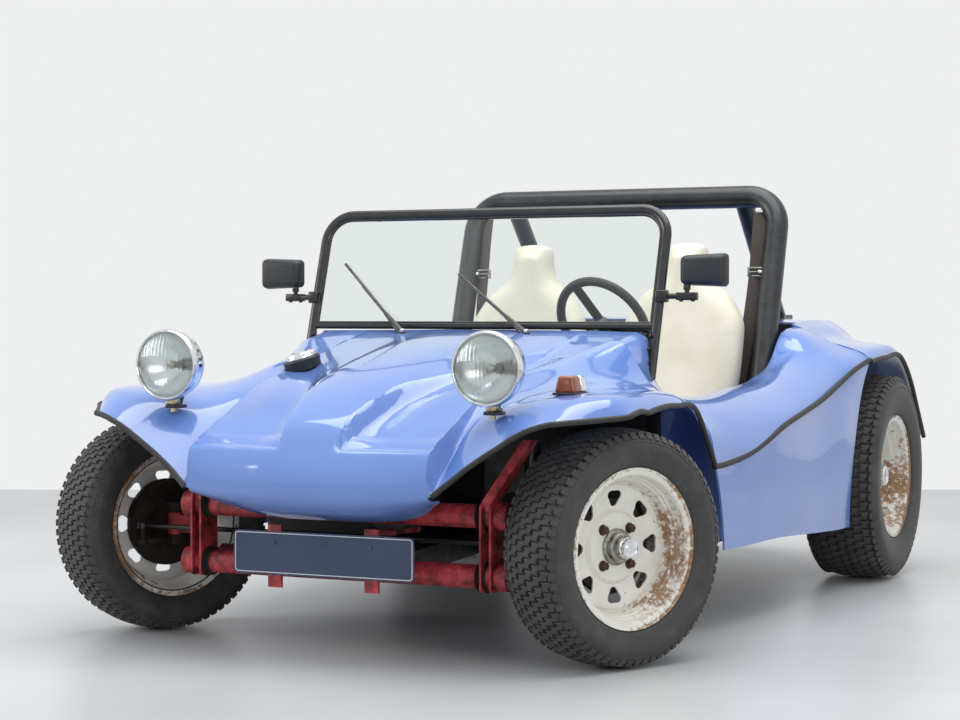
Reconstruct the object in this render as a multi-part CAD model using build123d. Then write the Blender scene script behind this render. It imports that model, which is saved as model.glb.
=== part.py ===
from build123d import *
import math
import os

# A short-wheelbase beach buggy: a moulded open body on a floor pan, a beam front axle with
# steered wheels, and an air-cooled flat engine behind the rear axle.
# Frame: +Z up, the front faces -Y, the vehicle's left side is +X, and the origin lies on the
# ground under the middle of the overall length. Lengths are in millimetres.
MM = 1.0

# Overall sizes
wheelbase = 2073 * MM
nose_reach_share = 0.196
rear_overhang = 700 * MM
half_width = 885 * MM
cowl_height = 870 * MM
deck_height = 888 * MM
skin = 6 * MM
fit_gap = 0.3 * MM
running_gap = 6 * MM
overrun = 40 * MM

# Wheels
front_tyre_od = 614 * MM
front_tyre_width = 197 * MM
front_rim_width = 162 * MM
rear_tyre_od = 698 * MM
rear_tyre_width = 258 * MM
rear_rim_width = 222 * MM
rim_flange_od = 416 * MM
rim_seat_od = 381 * MM
rim_wall = 5 * MM
disc_radius = 164 * MM
front_dish = 72 * MM
rear_dish = 92 * MM
nut_circle = 130 * MM
nut_count = 4
window_count = 8

# Front axle and steering
kingpin_x = 646 * MM
kingpin_offset = 5 * MM
steer_rest_deg = -25.5
steer_arm = 110 * MM
beam_setback = 178 * MM
beam_tube_od = 62 * MM
beam_upper_z = 385 * MM
beam_lower_z = 229 * MM
tie_rod_od = 14 * MM
ball_height = 16 * MM
tie_rod_z = 307 * MM
pitman_x = 120 * MM

# Rear axle
rear_wheel_outer_x = 900 * MM
torsion_ahead = 400 * MM
torsion_tube_od = 92 * MM

# Cockpit
floor_z = 205 * MM
cockpit_wall_share = 0.690
hoop_tube_od = 76 * MM
hoop_half_width = 564 * MM
hoop_top_z = 1302 * MM
hoop_lean_deg = 17.4
wheel_diameter = 330 * MM
seat_x = 285 * MM
seat_width = 460 * MM

front_overhang = nose_reach_share * wheelbase
length = front_overhang + wheelbase + rear_overhang
cockpit_half_width = cockpit_wall_share * half_width
front_axle_y = front_overhang - length / 2
rear_axle_y = front_axle_y + wheelbase
front_axle_z = front_tyre_od / 2
rear_axle_z = rear_tyre_od / 2


def along(share):
    """Place along the body, as a share of the wheelbase behind the front axle."""
    return front_axle_y + share * wheelbase


def node(name, *solids):
    """Write one named piece."""
    flat = []
    for item in solids:
        flat.extend(item.solids())
    shape = flat[0] if len(flat) == 1 else Compound(children=flat)
    export_step(shape, "parts/" + name + ".step")


def mirrored(shape):
    return mirror(shape, about=Plane.YZ)


def outline(points, plane=Plane.XY):
    """A flat face from corner points, with straight sides."""
    return plane * make_face(Polyline(*points, close=True))


def tube(start, end, radius, inner=0.0):
    """A round bar or pipe between two points."""
    axis = Vector(*end) - Vector(*start)
    plane = Plane(origin=Vector(*start), z_dir=axis.normalized())
    ring = Circle(radius) if inner == 0 else Circle(radius) - Circle(inner)
    return extrude(plane * ring, axis.length)


def pipe(points, bends, radius):
    """A round tube with tangent bends through the given corners."""
    path = FilletPolyline(*points, radius=bends)
    start = path @ 0
    section = Plane(origin=start, z_dir=path % 0) * Circle(radius)
    return sweep(section, path=path)


def box(x0, x1, y0, y1, z0, z1):
    middle = ((x0 + x1) / 2, (y0 + y1) / 2, (z0 + z1) / 2)
    return Pos(*middle) * Box(abs(x1 - x0), abs(y1 - y0), abs(z1 - z0))


def normals(points):
    """Unit normals at the points of an open outline, to its right-hand side."""
    found = []
    last = len(points) - 1
    for i in range(last + 1):
        before = points[max(i - 1, 0)]
        after = points[min(i + 1, last)]
        dx, dz = after[0] - before[0], after[1] - before[1]
        size = math.hypot(dx, dz)
        found.append((dz / size, -dx / size))
    return found


def chain(points, plane):
    """Edges through an odd number of points: each arc takes three, or a line where they are straight."""
    edges = []
    for i in range(0, len(points) - 2, 2):
        a, m, b = points[i], points[i + 1], points[i + 2]
        turn = (m[0] - a[0]) * (b[1] - a[1]) - (m[1] - a[1]) * (b[0] - a[0])
        chord = math.hypot(b[0] - a[0], b[1] - a[1])
        if abs(turn) < chord * chord * straight_share:
            edges.append(plane * Line(a, b))
        else:
            edges.append(plane * ThreePointArc(a, m, b))
    return edges


straight_share = 0.004
block_low_share = 0.40


def ribbon(points, plane, wall):
    """A strip of skin in one plane: the outer outline and the same outline moved in by the wall."""
    inner = [(x - nx * wall, z - nz * wall) for (x, z), (nx, nz) in zip(points, normals(points))]
    edges = chain(points, plane)
    edges += [plane * Line(points[-1], inner[-1]), plane * Line(inner[0], points[0])]
    edges += chain(inner, plane)
    return make_face(Wire(edges))


def filled(points, plane):
    """The face between an outline and a level below it, for the block that fittings are cut against."""
    low = block_low_share * cowl_height
    edges = chain(points, plane)
    corners = [points[-1], (points[-1][0], low), (points[0][0], low), points[0]]
    edges += [plane * Line(a, b) for a, b in zip(corners, corners[1:])]
    return make_face(Wire(edges))


def panel_face(points, plane, block):
    return filled(points, plane) if block else ribbon(points, plane, skin)


def skin_loft(sections, block):
    """A skin under transverse sections, each a place along Y and an outline in X and Z, or its block."""
    faces = [panel_face(points[::-1], Plane(origin=(0, y, 0), x_dir=(1, 0, 0), z_dir=(0, -1, 0)), block)
             for y, points in sections]
    return loft(faces, ruled=True)


def solid_loft(sections):
    """A full body through closed transverse sections."""
    faces = [outline(points, Plane(origin=(0, y, 0), x_dir=(1, 0, 0), z_dir=(0, -1, 0)))
             for y, points in sections]
    return loft(faces, ruled=True)


def seated(shape, blocks):
    """A fitting cut off just above the panels that carry it; a block is the thick form of a panel."""
    for block in blocks:
        shape = shape - Pos(0, 0, fit_gap) * block
    return shape.solids().sort_by(SortBy.VOLUME)[-1]


def scaled(table, x_size, z_size):
    """Sections from shares: of the wheelbase along the body, of x_size across and of z_size up."""
    return [(along(y), [(x * x_size, z * z_size) for x, z in points]) for y, points in table]


# Body panels
# Buttock lines of the hood: share of half_width across, then share of the wheelbase along and share of
# cowl_height up, from the under-nose edge over the fold, the nose and the hood to the windscreen foot.
hood_buttock_shares = [
    (0.00, [(-0.130, 0.420), (-0.172, 0.452), (-0.195, 0.500), (-0.196, 0.570), (-0.181, 0.640),
            (-0.166, 0.695), (-0.142, 0.742), (0.0965, 0.920), (0.305, 0.986)]),
    (0.13, [(-0.128, 0.420), (-0.170, 0.452), (-0.194, 0.500), (-0.195, 0.570), (-0.180, 0.640),
            (-0.164, 0.692), (-0.140, 0.736), (0.0965, 0.913), (0.305, 0.986)]),
    (0.19, [(-0.126, 0.422), (-0.168, 0.454), (-0.192, 0.500), (-0.192, 0.570), (-0.176, 0.640),
            (-0.158, 0.688), (-0.115, 0.748), (0.0965, 0.900), (0.305, 0.985)]),
    (0.30, [(-0.126, 0.440), (-0.162, 0.464), (-0.187, 0.500), (-0.189, 0.565), (-0.178, 0.630),
            (-0.156, 0.690), (-0.100, 0.762), (0.0965, 0.890), (0.305, 0.984)]),
    (0.40, [(-0.150, 0.492), (-0.170, 0.494), (-0.181, 0.505), (-0.187, 0.560), (-0.183, 0.620),
            (-0.160, 0.692), (-0.091, 0.762), (0.1000, 0.880), (0.305, 0.983)]),
]


def hood_nose(block=False):
    """The hood and nose in one skin, or the block under it that fittings are cut against."""
    faces = []
    shares = [(-x, line) for x, line in hood_buttock_shares[:0:-1]] + hood_buttock_shares
    for x, line in shares:
        plane = Plane(origin=(x * half_width, 0, 0), x_dir=(0, 1, 0), z_dir=(1, 0, 0))
        points = [(along(y), z * cowl_height) for y, z in line]
        faces.append(panel_face(points[::-1], plane, block))
    return loft(faces, ruled=True)


def hood_edge_share(y):
    """Height of the hood's side edge at a place along it."""
    line = hood_buttock_shares[-1][1]
    for (y0, z0), (y1, z1) in zip(line, line[1:]):
        if y0 < y1 and y0 <= y <= y1:
            return z0 + (z1 - z0) * (y - y0) / (y1 - y0)


# Front fender sections: shares of half_width across and of cowl_height up, from the crease beside the
# hood outwards.
front_fender_shares = [
    (-0.170, [(0.413, 0.515), (0.440, 0.538), (0.470, 0.563), (0.520, 0.602), (0.600, 0.655), (0.680, 0.703),
              (0.730, 0.722), (0.750, 0.727), (0.770, 0.730)]),
    (-0.110, [(0.413, 0.640), (0.440, 0.685), (0.470, 0.715), (0.540, 0.742), (0.640, 0.775), (0.740, 0.789),
              (0.800, 0.790), (0.850, 0.783), (0.896, 0.742)]),
    (-0.040, [(0.413, 0.782), (0.440, 0.784), (0.480, 0.786), (0.540, 0.791), (0.640, 0.802), (0.760, 0.812),
              (0.830, 0.812), (0.875, 0.803), (0.908, 0.755)]),
    (0.090, [(0.413, 0.872), (0.450, 0.880), (0.486, 0.880), (0.530, 0.862), (0.600, 0.828), (0.700, 0.812),
             (0.800, 0.812), (0.876, 0.803), (0.910, 0.764)]),
    (0.170, [(0.413, 0.912), (0.460, 0.914), (0.505, 0.910), (0.560, 0.885), (0.630, 0.835), (0.700, 0.805),
             (0.790, 0.795), (0.872, 0.775), (0.908, 0.733)]),
    (0.205, [(0.413, 0.930), (0.485, 0.932), (0.545, 0.930), (0.595, 0.900), (0.645, 0.845), (0.710, 0.800),
             (0.790, 0.776), (0.870, 0.738), (0.908, 0.650)]),
    (0.245, [(0.413, 0.948), (0.510, 0.950), (0.588, 0.946), (0.615, 0.920), (0.645, 0.870), (0.700, 0.800),
             (0.790, 0.752), (0.868, 0.692), (0.906, 0.548)]),
]
# The cowl's side, from the fender back to the windscreen, inside the cockpit wall.
cowl_side_shares = [
    (0.2450 + fit_gap / wheelbase,
     [(0.413, 0.948), (0.480, 0.950), (0.540, 0.950), (0.588, 0.946), (0.604, 0.936), (0.613, 0.910),
      (0.616, 0.890)]),
    (0.3050,
     [(0.413, 0.983), (0.480, 0.982), (0.540, 0.980), (0.590, 0.976), (0.608, 0.967), (0.615, 0.940),
      (0.616, 0.900)]),
]


def walled(table, block):
    """Sections of scaled shares, each started with the low wall that meets the hood's side edge."""
    start = hood_buttock_shares[-1][0] + (0 if block else (skin + fit_gap) / half_width)
    sections = []
    for y, points in table:
        top = hood_edge_share(y)
        foot = points[0]
        sections.append((y, [(start, top), ((start + foot[0]) / 2, (top + foot[1]) / 2)] + points))
    return scaled(sections, half_width, cowl_height)


def front_fender(block=False):
    return (skin_loft(walled(front_fender_shares, block), block)
            + skin_loft(walled(cowl_side_shares, block), block))


# Side panel sections: shares of half_width and cowl_height, from the cockpit wall over the rim, the
# shoulder, the rub strip and the flank to the sill.
side_panel_shares = [
    (0.2450 + fit_gap / wheelbase,
     [(cockpit_wall_share, 0.2550), (cockpit_wall_share, 0.800), (0.730, 0.782), (0.790, 0.748),
              (0.870, 0.690), (0.906, 0.560), (0.904, 0.420), (0.890, 0.2765)]),
    (0.3300, [(cockpit_wall_share, 0.2550), (cockpit_wall_share, 0.758), (0.740, 0.766), (0.840, 0.725),
              (0.922, 0.600), (0.924, 0.530), (0.918, 0.400), (0.902, 0.2700)]),
    (0.4850, [(cockpit_wall_share, 0.2550), (cockpit_wall_share, 0.772), (0.750, 0.780), (0.860, 0.740),
              (0.948, 0.658), (0.950, 0.600), (0.946, 0.420), (0.930, 0.2700)]),
    (0.6600, [(cockpit_wall_share, 0.2550), (cockpit_wall_share, 0.806), (0.750, 0.815), (0.870, 0.800),
              (0.958, 0.734), (0.962, 0.680), (0.962, 0.420), (0.945, 0.2500)]),
    (0.7700, [(cockpit_wall_share, 0.2550), (cockpit_wall_share, 0.890), (0.740, 0.898), (0.880, 0.865),
              (0.966, 0.800), (0.978, 0.750), (0.978, 0.450), (0.958, 0.2400)]),
    (0.8000, [(cockpit_wall_share, 0.2550), (cockpit_wall_share, 0.955), (0.730, 0.955), (0.870, 0.890),
              (0.975, 0.826), (0.982, 0.770), (0.982, 0.450), (0.962, 0.2400)]),
    (0.8780, [(cockpit_wall_share, 0.2550), (cockpit_wall_share, 0.996), (0.720, 0.986), (0.860, 0.925),
              (0.990, 0.860), (0.994, 0.800), (0.994, 0.450), (0.980, 0.2400)]),
]
# Rear wheel arch of the side panel, as places along the wheelbase and shares of cowl_height.
arch_shares = [(0.878, 0.858), (0.812, 0.632), (0.808, 0.245)]
# Slanted front edge behind the front wheel: its top at the fender, and its foot at the sill.
front_edge_shares = [(0.2455, 0.545), (0.293, 0.275)]


def side_panel():
    body = solid_loft(scaled(side_panel_shares, half_width, cowl_height))
    top, middle, foot = [(along(y), z * cowl_height) for y, z in arch_shares]
    side = Plane(origin=(0, 0, 0), x_dir=(0, 1, 0), z_dir=(1, 0, 0))
    back = along(side_panel_shares[-1][0]) + overrun
    edges = [ThreePointArc(top, middle, foot), Line(foot, (foot[0], 0)), Line((foot[0], 0), (back, 0)),
             Line((back, 0), (back, top[1])), Line((back, top[1]), top)]
    cut = extrude(side * make_face(edges), half_width * 2)
    head, toe = [(along(y), z * cowl_height) for y, z in front_edge_shares]
    slant = outline([(head[0] - overrun, head[1]), head, toe, (toe[0], 0), (head[0] - overrun, 0)], side)
    return body - cut - extrude(slant, half_width * 2)


# Rear fender sections from the deck's side over the wheel to the trimmed edge.
rear_fender_shares = [
    (0.8780 + fit_gap / wheelbase, [(0.690, 1.000), (0.740, 0.980), (0.790, 0.948), (0.860, 0.926), (0.930, 0.905),
              (0.975, 0.885), (0.994, 0.860)]),
    (0.9600, [(0.690, 1.012), (0.740, 0.988), (0.790, 0.950), (0.860, 0.928), (0.930, 0.918),
              (0.982, 0.905), (1.000, 0.872)]),
    (1.0600, [(0.690, 1.012), (0.740, 0.985), (0.790, 0.945), (0.860, 0.922), (0.930, 0.908),
              (0.982, 0.895), (1.000, 0.866)]),
    (1.1200, [(0.690, 1.000), (0.740, 0.965), (0.790, 0.915), (0.860, 0.875), (0.930, 0.848),
              (0.982, 0.820), (1.000, 0.775)]),
    (1.1800, [(0.690, 0.900), (0.740, 0.850), (0.790, 0.790), (0.860, 0.740), (0.930, 0.705),
              (0.980, 0.675), (0.996, 0.640)]),
    (1.2320, [(0.690, 0.740), (0.740, 0.690), (0.790, 0.640), (0.860, 0.600), (0.930, 0.570),
              (0.975, 0.550), (0.990, 0.530)]),
]


def rear_fender(block=False):
    panel = skin_loft(scaled(rear_fender_shares, half_width, cowl_height), block)
    joint = rear_fender_shares[0][1][0][0] * half_width
    return panel - box(0, joint, along(0), along(2), 0, deck_height * 2)


# Rear deck: buttock lines between the fenders, shares of half_width, wheelbase and deck_height.
deck_buttock_shares = [
    (0.00, [(0.905, 0.998), (0.935, 1.002), (0.970, 1.006), (1.060, 1.004), (1.140, 0.985),
            (1.195, 0.900), (1.215, 0.800)]),
    (0.40, [(0.905, 0.997), (0.935, 1.001), (0.970, 1.004), (1.060, 1.002), (1.138, 0.980),
            (1.190, 0.895), (1.212, 0.790)]),
    (0.690 - fit_gap / half_width, [(0.905, 0.984), (0.935, 0.988), (0.970, 0.991), (1.060, 0.991), (1.120, 0.978),
             (1.180, 0.880), (1.205, 0.780)]),
]


def rear_deck(block=False):
    faces = []
    shares = [(-x, line) for x, line in deck_buttock_shares[:0:-1]] + deck_buttock_shares
    for x, line in shares:
        plane = Plane(origin=(x * half_width, 0, 0), x_dir=(0, 1, 0), z_dir=(1, 0, 0))
        points = [(along(y), z * deck_height) for y, z in line]
        faces.append(panel_face(points[::-1], plane, block))
    return loft(faces, ruled=True)


# Floor pan: the tub's profile along the middle, then the tunnel and the frame head.
pan_front_share = 0.245
shelf_rear_share = 0.912
toe_board_share = 0.130
pan_wall = 12 * MM
shelf_z = 428 * MM
tunnel_width = 150 * MM
tunnel_height = 130 * MM
frame_head_height = 62 * MM
seat_rail_width = 28 * MM
seat_rail_apart = 260 * MM
toe_board_height = 300 * MM


def floor_tub():
    """The cockpit's floor, toe board, rear shelf and bulkhead in one fold, with the tunnel and frame head."""
    half = cockpit_half_width - fit_gap
    side = Plane(origin=(-half, 0, 0), x_dir=(0, 1, 0), z_dir=(1, 0, 0))
    front, back = along(pan_front_share), along(shelf_rear_share)
    rear = rear_axle_y - torsion_ahead - torsion_tube_od / 2 - fit_gap
    toe_y, toe_z = along(toe_board_share), floor_z + toe_board_height
    top = deck_height * deck_buttock_shares[-1][1][0][1] - skin - fit_gap
    wall = pan_wall
    profile = [(toe_y, toe_z), (front, floor_z), (rear, floor_z), (rear, shelf_z), (back, shelf_z), (back, top),
               (back - wall, top), (back - wall, shelf_z + wall), (rear - wall, shelf_z + wall),
               (rear - wall, floor_z + wall), (front + wall / 2, floor_z + wall), (toe_y + wall, toe_z)]
    tub = extrude(outline(profile, side), half * 2)
    tunnel = box(-tunnel_width / 2, tunnel_width / 2, front, rear - wall, floor_z, floor_z + tunnel_height)
    tunnel = fillet(tunnel.edges().filter_by(Axis.Y).group_by(Axis.Z)[-1], tunnel_width / 5)
    head_front = front_axle_y - beam_setback + beam_tube_od / 2 + fit_gap
    head = outline([(-tunnel_width, head_front), (tunnel_width, head_front),
                    (tunnel_width / 2, front + overrun), (-tunnel_width / 2, front + overrun)],
                   Plane(origin=(0, 0, floor_z)))
    start, end = column_ends()
    tub = tub + tunnel + extrude(head, frame_head_height) - tube(start, end, column_r + running_gap)
    rail_top = seat_cushion_z - seat_cushion_height / 2 - fit_gap
    for x in (seat_x, -seat_x):
        for side in (-1, 1):
            middle = x + side * seat_rail_apart / 2
            tub += box(middle - seat_rail_width / 2, middle + seat_rail_width / 2,
                       along(seat_base_share) + seat_rail_width * 2, along(seat_foot_share) - seat_rail_width * 2,
                       floor_z, rail_top)
    return tub


# Windscreen frame
screen_foot_share = 0.3115
screen_lean_deg = 17.3
screen_width = 1172 * MM
screen_height = 386 * MM
screen_corner = 100 * MM
screen_bar = 36 * MM
screen_foot_bar = 22 * MM
screen_depth = 22 * MM
screen_foot_z = 858 * MM
screen_post_drop = 150 * MM
glass_thickness = 5 * MM


def screen_plane():
    lean = math.radians(screen_lean_deg)
    return Plane(origin=(0, along(screen_foot_share), screen_foot_z), x_dir=(1, 0, 0),
                 z_dir=(0, -math.cos(lean), math.sin(lean)))


def windshield_frame(blocks):
    half = screen_width / 2
    outer = Rectangle(screen_width, screen_height, align=(Align.CENTER, Align.MIN))
    outer = fillet(outer.vertices().group_by(Axis.Y)[-1], screen_corner)
    opening = Pos(0, screen_foot_bar) * Rectangle(screen_width - 2 * screen_bar,
                                                   screen_height - screen_bar - screen_foot_bar,
                                                   align=(Align.CENTER, Align.MIN))
    opening = fillet(opening.vertices().group_by(Axis.Y)[-1], screen_corner - screen_bar)
    flat = outer - opening
    for side in (-1, 1):
        flat += Pos(side * (half - screen_bar / 2), overrun / 2) * Rectangle(
            screen_bar, screen_post_drop + overrun / 2, align=(Align.CENTER, Align.MAX))
    frame = extrude(screen_plane() * flat, screen_depth / 2, both=True)
    return seated(frame, blocks)


def windshield_glass():
    pane = Pos(0, screen_foot_bar + fit_gap) * Rectangle(
        screen_width - 2 * screen_bar - 2 * fit_gap,
        screen_height - screen_bar - screen_foot_bar - 2 * fit_gap, align=(Align.CENTER, Align.MIN))
    pane = fillet(pane.vertices().group_by(Axis.Y)[-1], screen_corner - screen_bar)
    return extrude(screen_plane() * pane, glass_thickness / 2, both=True)


# Dashboard: a flat panel that closes the back of the cowl, as shares of half_width and cowl_height
dash_wall = 20 * MM
dash_setback = 1.5 * MM
dash_half_shares = [(0.000, 0.983), (0.400, 0.983), (0.590, 0.981), (0.612, 0.962), (0.618, 0.900), (0.616, 0.800)]


def dashboard():
    half = [(x * half_width, z * cowl_height) for x, z in dash_half_shares]
    front = along(cowl_side_shares[-1][0]) + dash_setback
    back_plane = Plane(origin=(0, front + dash_wall, 0), x_dir=(1, 0, 0), z_dir=(0, -1, 0))
    panel = extrude(outline([(-x, z) for x, z in half[:0:-1]] + half, back_plane), dash_wall)
    start, end = column_ends()
    return panel - tube(start, end, column_r + running_gap)


# Roll hoop
hoop_foot_share = 0.783
hoop_bend = 112 * MM
hoop_ref_z = 640 * MM
brace_inset = 134 * MM
brace_foot_share = 1.075
brace_od = 60 * MM
hoop_foot_plate = 12 * MM


def hoop_point(x, z):
    """A point of the leaning hoop."""
    rise = z - hoop_ref_z
    y = along(hoop_foot_share) + rise * math.tan(math.radians(hoop_lean_deg))
    return (x, y, z)


def roll_hoop():
    half = hoop_half_width
    deck = [rear_deck(True)]
    foot_z = floor_z + pan_wall + hoop_foot_plate / 2
    corners = [hoop_point(-half, foot_z), hoop_point(-half, hoop_top_z), hoop_point(half, hoop_top_z),
               hoop_point(half, foot_z)]
    hoop = pipe(corners, hoop_bend, hoop_tube_od / 2)
    reach = floor_z + pan_wall + fit_gap
    ends = box(-half * 2, half * 2, front_axle_y, rear_axle_y, 0, reach)
    hoop -= ends
    for side in (-1, 1):
        x, y, z = hoop_point(side * (half - hoop_tube_od / 8), foot_z)
        hoop += box(x - hoop_tube_od * 0.6, x + hoop_tube_od * 0.6, y - hoop_tube_od * 0.7,
                    y + hoop_tube_od * 0.7, reach, reach + hoop_foot_plate)
    for side in (-1, 1):
        top = hoop_point(side * (half - brace_inset), hoop_top_z)
        foot = (top[0], along(brace_foot_share), deck_height)
        brace = tube(top, foot, brace_od / 2)
        plate = box(foot[0] - brace_od * 0.7, foot[0] + brace_od * 0.7, foot[1] - brace_od, foot[1] + brace_od * 0.7,
                    deck_height - skin * 2, deck_height + hoop_foot_plate)
        hoop += seated(brace + plate, deck)
    return hoop


# Seats
seat_base_share = 0.535
seat_back_share = 0.818
seat_cushion_z = 340 * MM
seat_cushion_height = 160 * MM
seat_back_height = 640 * MM
headrest_top_z = 1158 * MM
headrest_width = 190 * MM
seat_back_thickness = 110 * MM
seat_cushion_width = 410 * MM
seat_foot_share = 0.728


def seat(x):
    front, back = along(seat_base_share), along(seat_back_share)
    foot = along(seat_foot_share)
    bottom = seat_cushion_z - seat_cushion_height / 2
    top_of_base = seat_cushion_z + seat_cushion_height / 2
    half = seat_cushion_width / 2
    cushion = box(x - half, x + half, front, foot, bottom, top_of_base)
    cushion = fillet(cushion.edges(), seat_cushion_height / 5)
    wide = seat_width / 2
    head = headrest_width / 2
    lean = back - foot
    rise = headrest_top_z - bottom
    rows = [(0.00, 0.00, half), (0.18, 0.06, half), (0.50, 0.55, wide), (0.69, 0.80, wide),
            (0.80, 0.92, wide * 0.74), (0.85, 0.96, head), (1.00, 1.00, head * 0.78)]
    faces = []
    for up_share, back_share, w in rows:
        faces.append(Pos(x, foot + lean * back_share, bottom + rise * up_share)
                     * RectangleRounded(w * 2, seat_back_thickness, seat_back_thickness / 3))
    return cushion + loft(faces, ruled=True)


# Small fittings on the body
lamp_x = 478 * MM
lamp_y_share = -0.144
lamp_z = 768 * MM
lamp_od = 194 * MM
lamp_depth = 120 * MM
lamp_stalk = 190 * MM


def headlamp(side, blocks):
    y = along(lamp_y_share)
    r, depth = lamp_od / 2, lamp_depth
    rim, bulge = depth * 0.16, depth * 0.12
    outer = [(0, -bulge), (r * 0.5, -bulge * 0.75), (r, 0), (r, rim), (r * 0.94, rim), (r * 0.9, depth * 0.4),
             (r * 0.7, depth * 0.72), (r * 0.4, depth * 0.93), (0, depth)]
    bowl = revolve(make_face(Polyline(*outer, close=True)), Axis.Y)
    stalk = tube((0, depth * 0.3, -r * 0.7), (0, depth * 0.3, -lamp_stalk), r / 6)
    return seated(Pos(side * lamp_x, y, lamp_z) * (bowl + stalk), blocks)


indicator_x = 620 * MM
indicator_share = -0.043
indicator_length = 96 * MM
indicator_width = 62 * MM
indicator_height = 46 * MM
indicator_z = 703 * MM


def indicator(side, blocks):
    base = Pos(side * indicator_x, along(indicator_share), indicator_z)
    lamp = loft([RectangleRounded(indicator_width, indicator_length, indicator_width / 3),
                 Pos(0, 0, indicator_height) * RectangleRounded(
                     indicator_width / 2, indicator_length * 0.7, indicator_width / 5)])
    foot = extrude(RectangleRounded(indicator_width, indicator_length, indicator_width / 3), -indicator_height)
    return seated(base * (lamp + foot), blocks)


filler_x = -331 * MM
filler_share = 0.083
filler_od = 106 * MM
filler_height = 42 * MM
filler_z = 768 * MM


def fuel_filler(blocks):
    x, y = filler_x, along(filler_share)
    low = filler_z - filler_height * 0.4
    neck = tube((x, y, low), (x, y, filler_z + filler_height * 0.3), filler_od / 2)
    cap = tube((x, y, low), (x, y, filler_z + filler_height), filler_od * 0.40)
    return seated(neck + cap, blocks)


mirror_z = 1031 * MM
mirror_arm_z = 954 * MM
mirror_x = 700 * MM
mirror_width = 150 * MM
mirror_height = 104 * MM
mirror_depth = 54 * MM


def mirror_on(side):
    lean = math.tan(math.radians(screen_lean_deg))
    post_y = along(screen_foot_share) + (mirror_arm_z - screen_foot_z) * lean
    post_x = screen_width / 2
    arm = tube((side * (post_x + fit_gap), post_y, mirror_arm_z), (side * mirror_x, post_y, mirror_arm_z), 11 * MM)
    stem = tube((side * (mirror_x - 11 * MM), post_y, mirror_arm_z),
                (side * (mirror_x - 11 * MM), post_y, mirror_z), 9 * MM)
    shell = Pos(side * mirror_x, post_y, mirror_z) * Box(mirror_width, mirror_depth, mirror_height)
    shell = fillet(shell.edges(), mirror_depth * 0.3)
    return arm + stem + shell


wiper_places = [(-223 * MM, 0.2653, -0.71), (199 * MM, 0.2653, -0.84)]
wiper_arm = 330 * MM
wiper_bar = 12 * MM


def wipers(blocks):
    made = []
    lean = math.radians(screen_lean_deg)
    for x, share, tilt in wiper_places:
        y = along(share)
        z = cowl_height * 0.975
        pivot = (x, y, z - skin * 2)
        top = cowl_height + wiper_arm * math.cos(tilt) * math.cos(lean)
        tip = (x + wiper_arm * math.sin(tilt), along(screen_foot_share) - screen_depth
               + (top - cowl_height) * math.tan(lean), top)
        foot = (x, y, z + 40 * MM)
        made.append(seated(tube(pivot, foot, 14 * MM) + tube(foot, tip, wiper_bar / 2), blocks))
    return made


plate_width = 540 * MM
plate_height = 115 * MM
plate_z = 275 * MM
plate_ahead = 290 * MM
plate_thickness = 3 * MM
plate_bracket_x = 145 * MM
plate_bracket_width = 40 * MM


def number_plate():
    y = front_axle_y - plate_ahead
    sheet = Plane(origin=(0, y, plate_z), x_dir=(1, 0, 0), z_dir=(0, -1, 0)) * RectangleRounded(
        plate_width, plate_height, plate_height / 9)
    return extrude(sheet, plate_thickness)


def plate_brackets():
    y = front_axle_y - plate_ahead
    made = []
    tube_y = front_axle_y - beam_setback - beam_tube_od / 2
    for side in (-1, 1):
        x = side * plate_bracket_x
        half = plate_bracket_width / 2
        upright = box(x - half, x + half, y + fit_gap, y + plate_bracket_width / 4, beam_lower_z - 45 * MM,
                      beam_upper_z - 36 * MM)
        foot = box(x - half, x + half, y + fit_gap, tube_y - fit_gap, beam_lower_z - 10 * MM, beam_lower_z + 10 * MM)
        made.append(upright + foot)
    return made


# Front beam: two cross tubes in a pair of towers, with trailing arms to the link-pin carriers
tower_gap = 22 * MM
tower_plate = 6 * MM
tower_x = 437 * MM
tower_depth = 84 * MM
tower_top_z = 585 * MM
tower_top_x = 545 * MM
tower_arm_share = 0.70


def tower_arm_foot():
    """Height at which the tower's arm starts to lean out, clear of the trailing arm's boss."""
    return beam_upper_z + arm_boss_r + running_gap


def front_beam():
    y = front_axle_y - beam_setback
    r = beam_tube_od / 2
    half = arm_x - arm_thickness / 2 - fit_gap
    beam = tube((-half, y, beam_upper_z), (half, y, beam_upper_z), r)
    beam += tube((-half, y, beam_lower_z), (half, y, beam_lower_z), r)
    for side in (-1, 1):
        for edge in (-1, 1):
            x = side * tower_x + edge * (tower_gap + tower_plate) / 2
            plate = box(x - tower_plate / 2, x + tower_plate / 2, y - tower_depth / 2, y + tower_depth / 2,
                        beam_lower_z - r - tower_plate, beam_upper_z + r + tower_plate)
            beam += fillet(plate.edges().filter_by(Axis.X), r / 2)
        wide = tower_gap + tower_plate
        deep = tower_depth * tower_arm_share
        beam += box(side * tower_x - wide / 2, side * tower_x + wide / 2, y - deep / 2, y + deep / 2,
                    beam_upper_z + r / 2, tower_arm_foot())
        beam += loft([Pos(side * tower_x, y, tower_arm_foot()) * Rectangle(wide, deep),
                      Pos(side * tower_top_x, y, tower_top_z) * Rectangle(wide, deep * tower_arm_share)])
        x, _, z = front_shock_top(side)
        beam += tube((x, y, z), (x, shock_back_y(), z), shock_pin_r)
    return beam


arm_x = 474 * MM
arm_thickness = 30 * MM
arm_boss_r = 36 * MM
arm_end_r = 27 * MM
carrier_x = 545 * MM
carrier_thickness = 28 * MM
carrier_boss_r = 24 * MM
carrier_boss_height = 62 * MM
kingpin_r = 11 * MM


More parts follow.
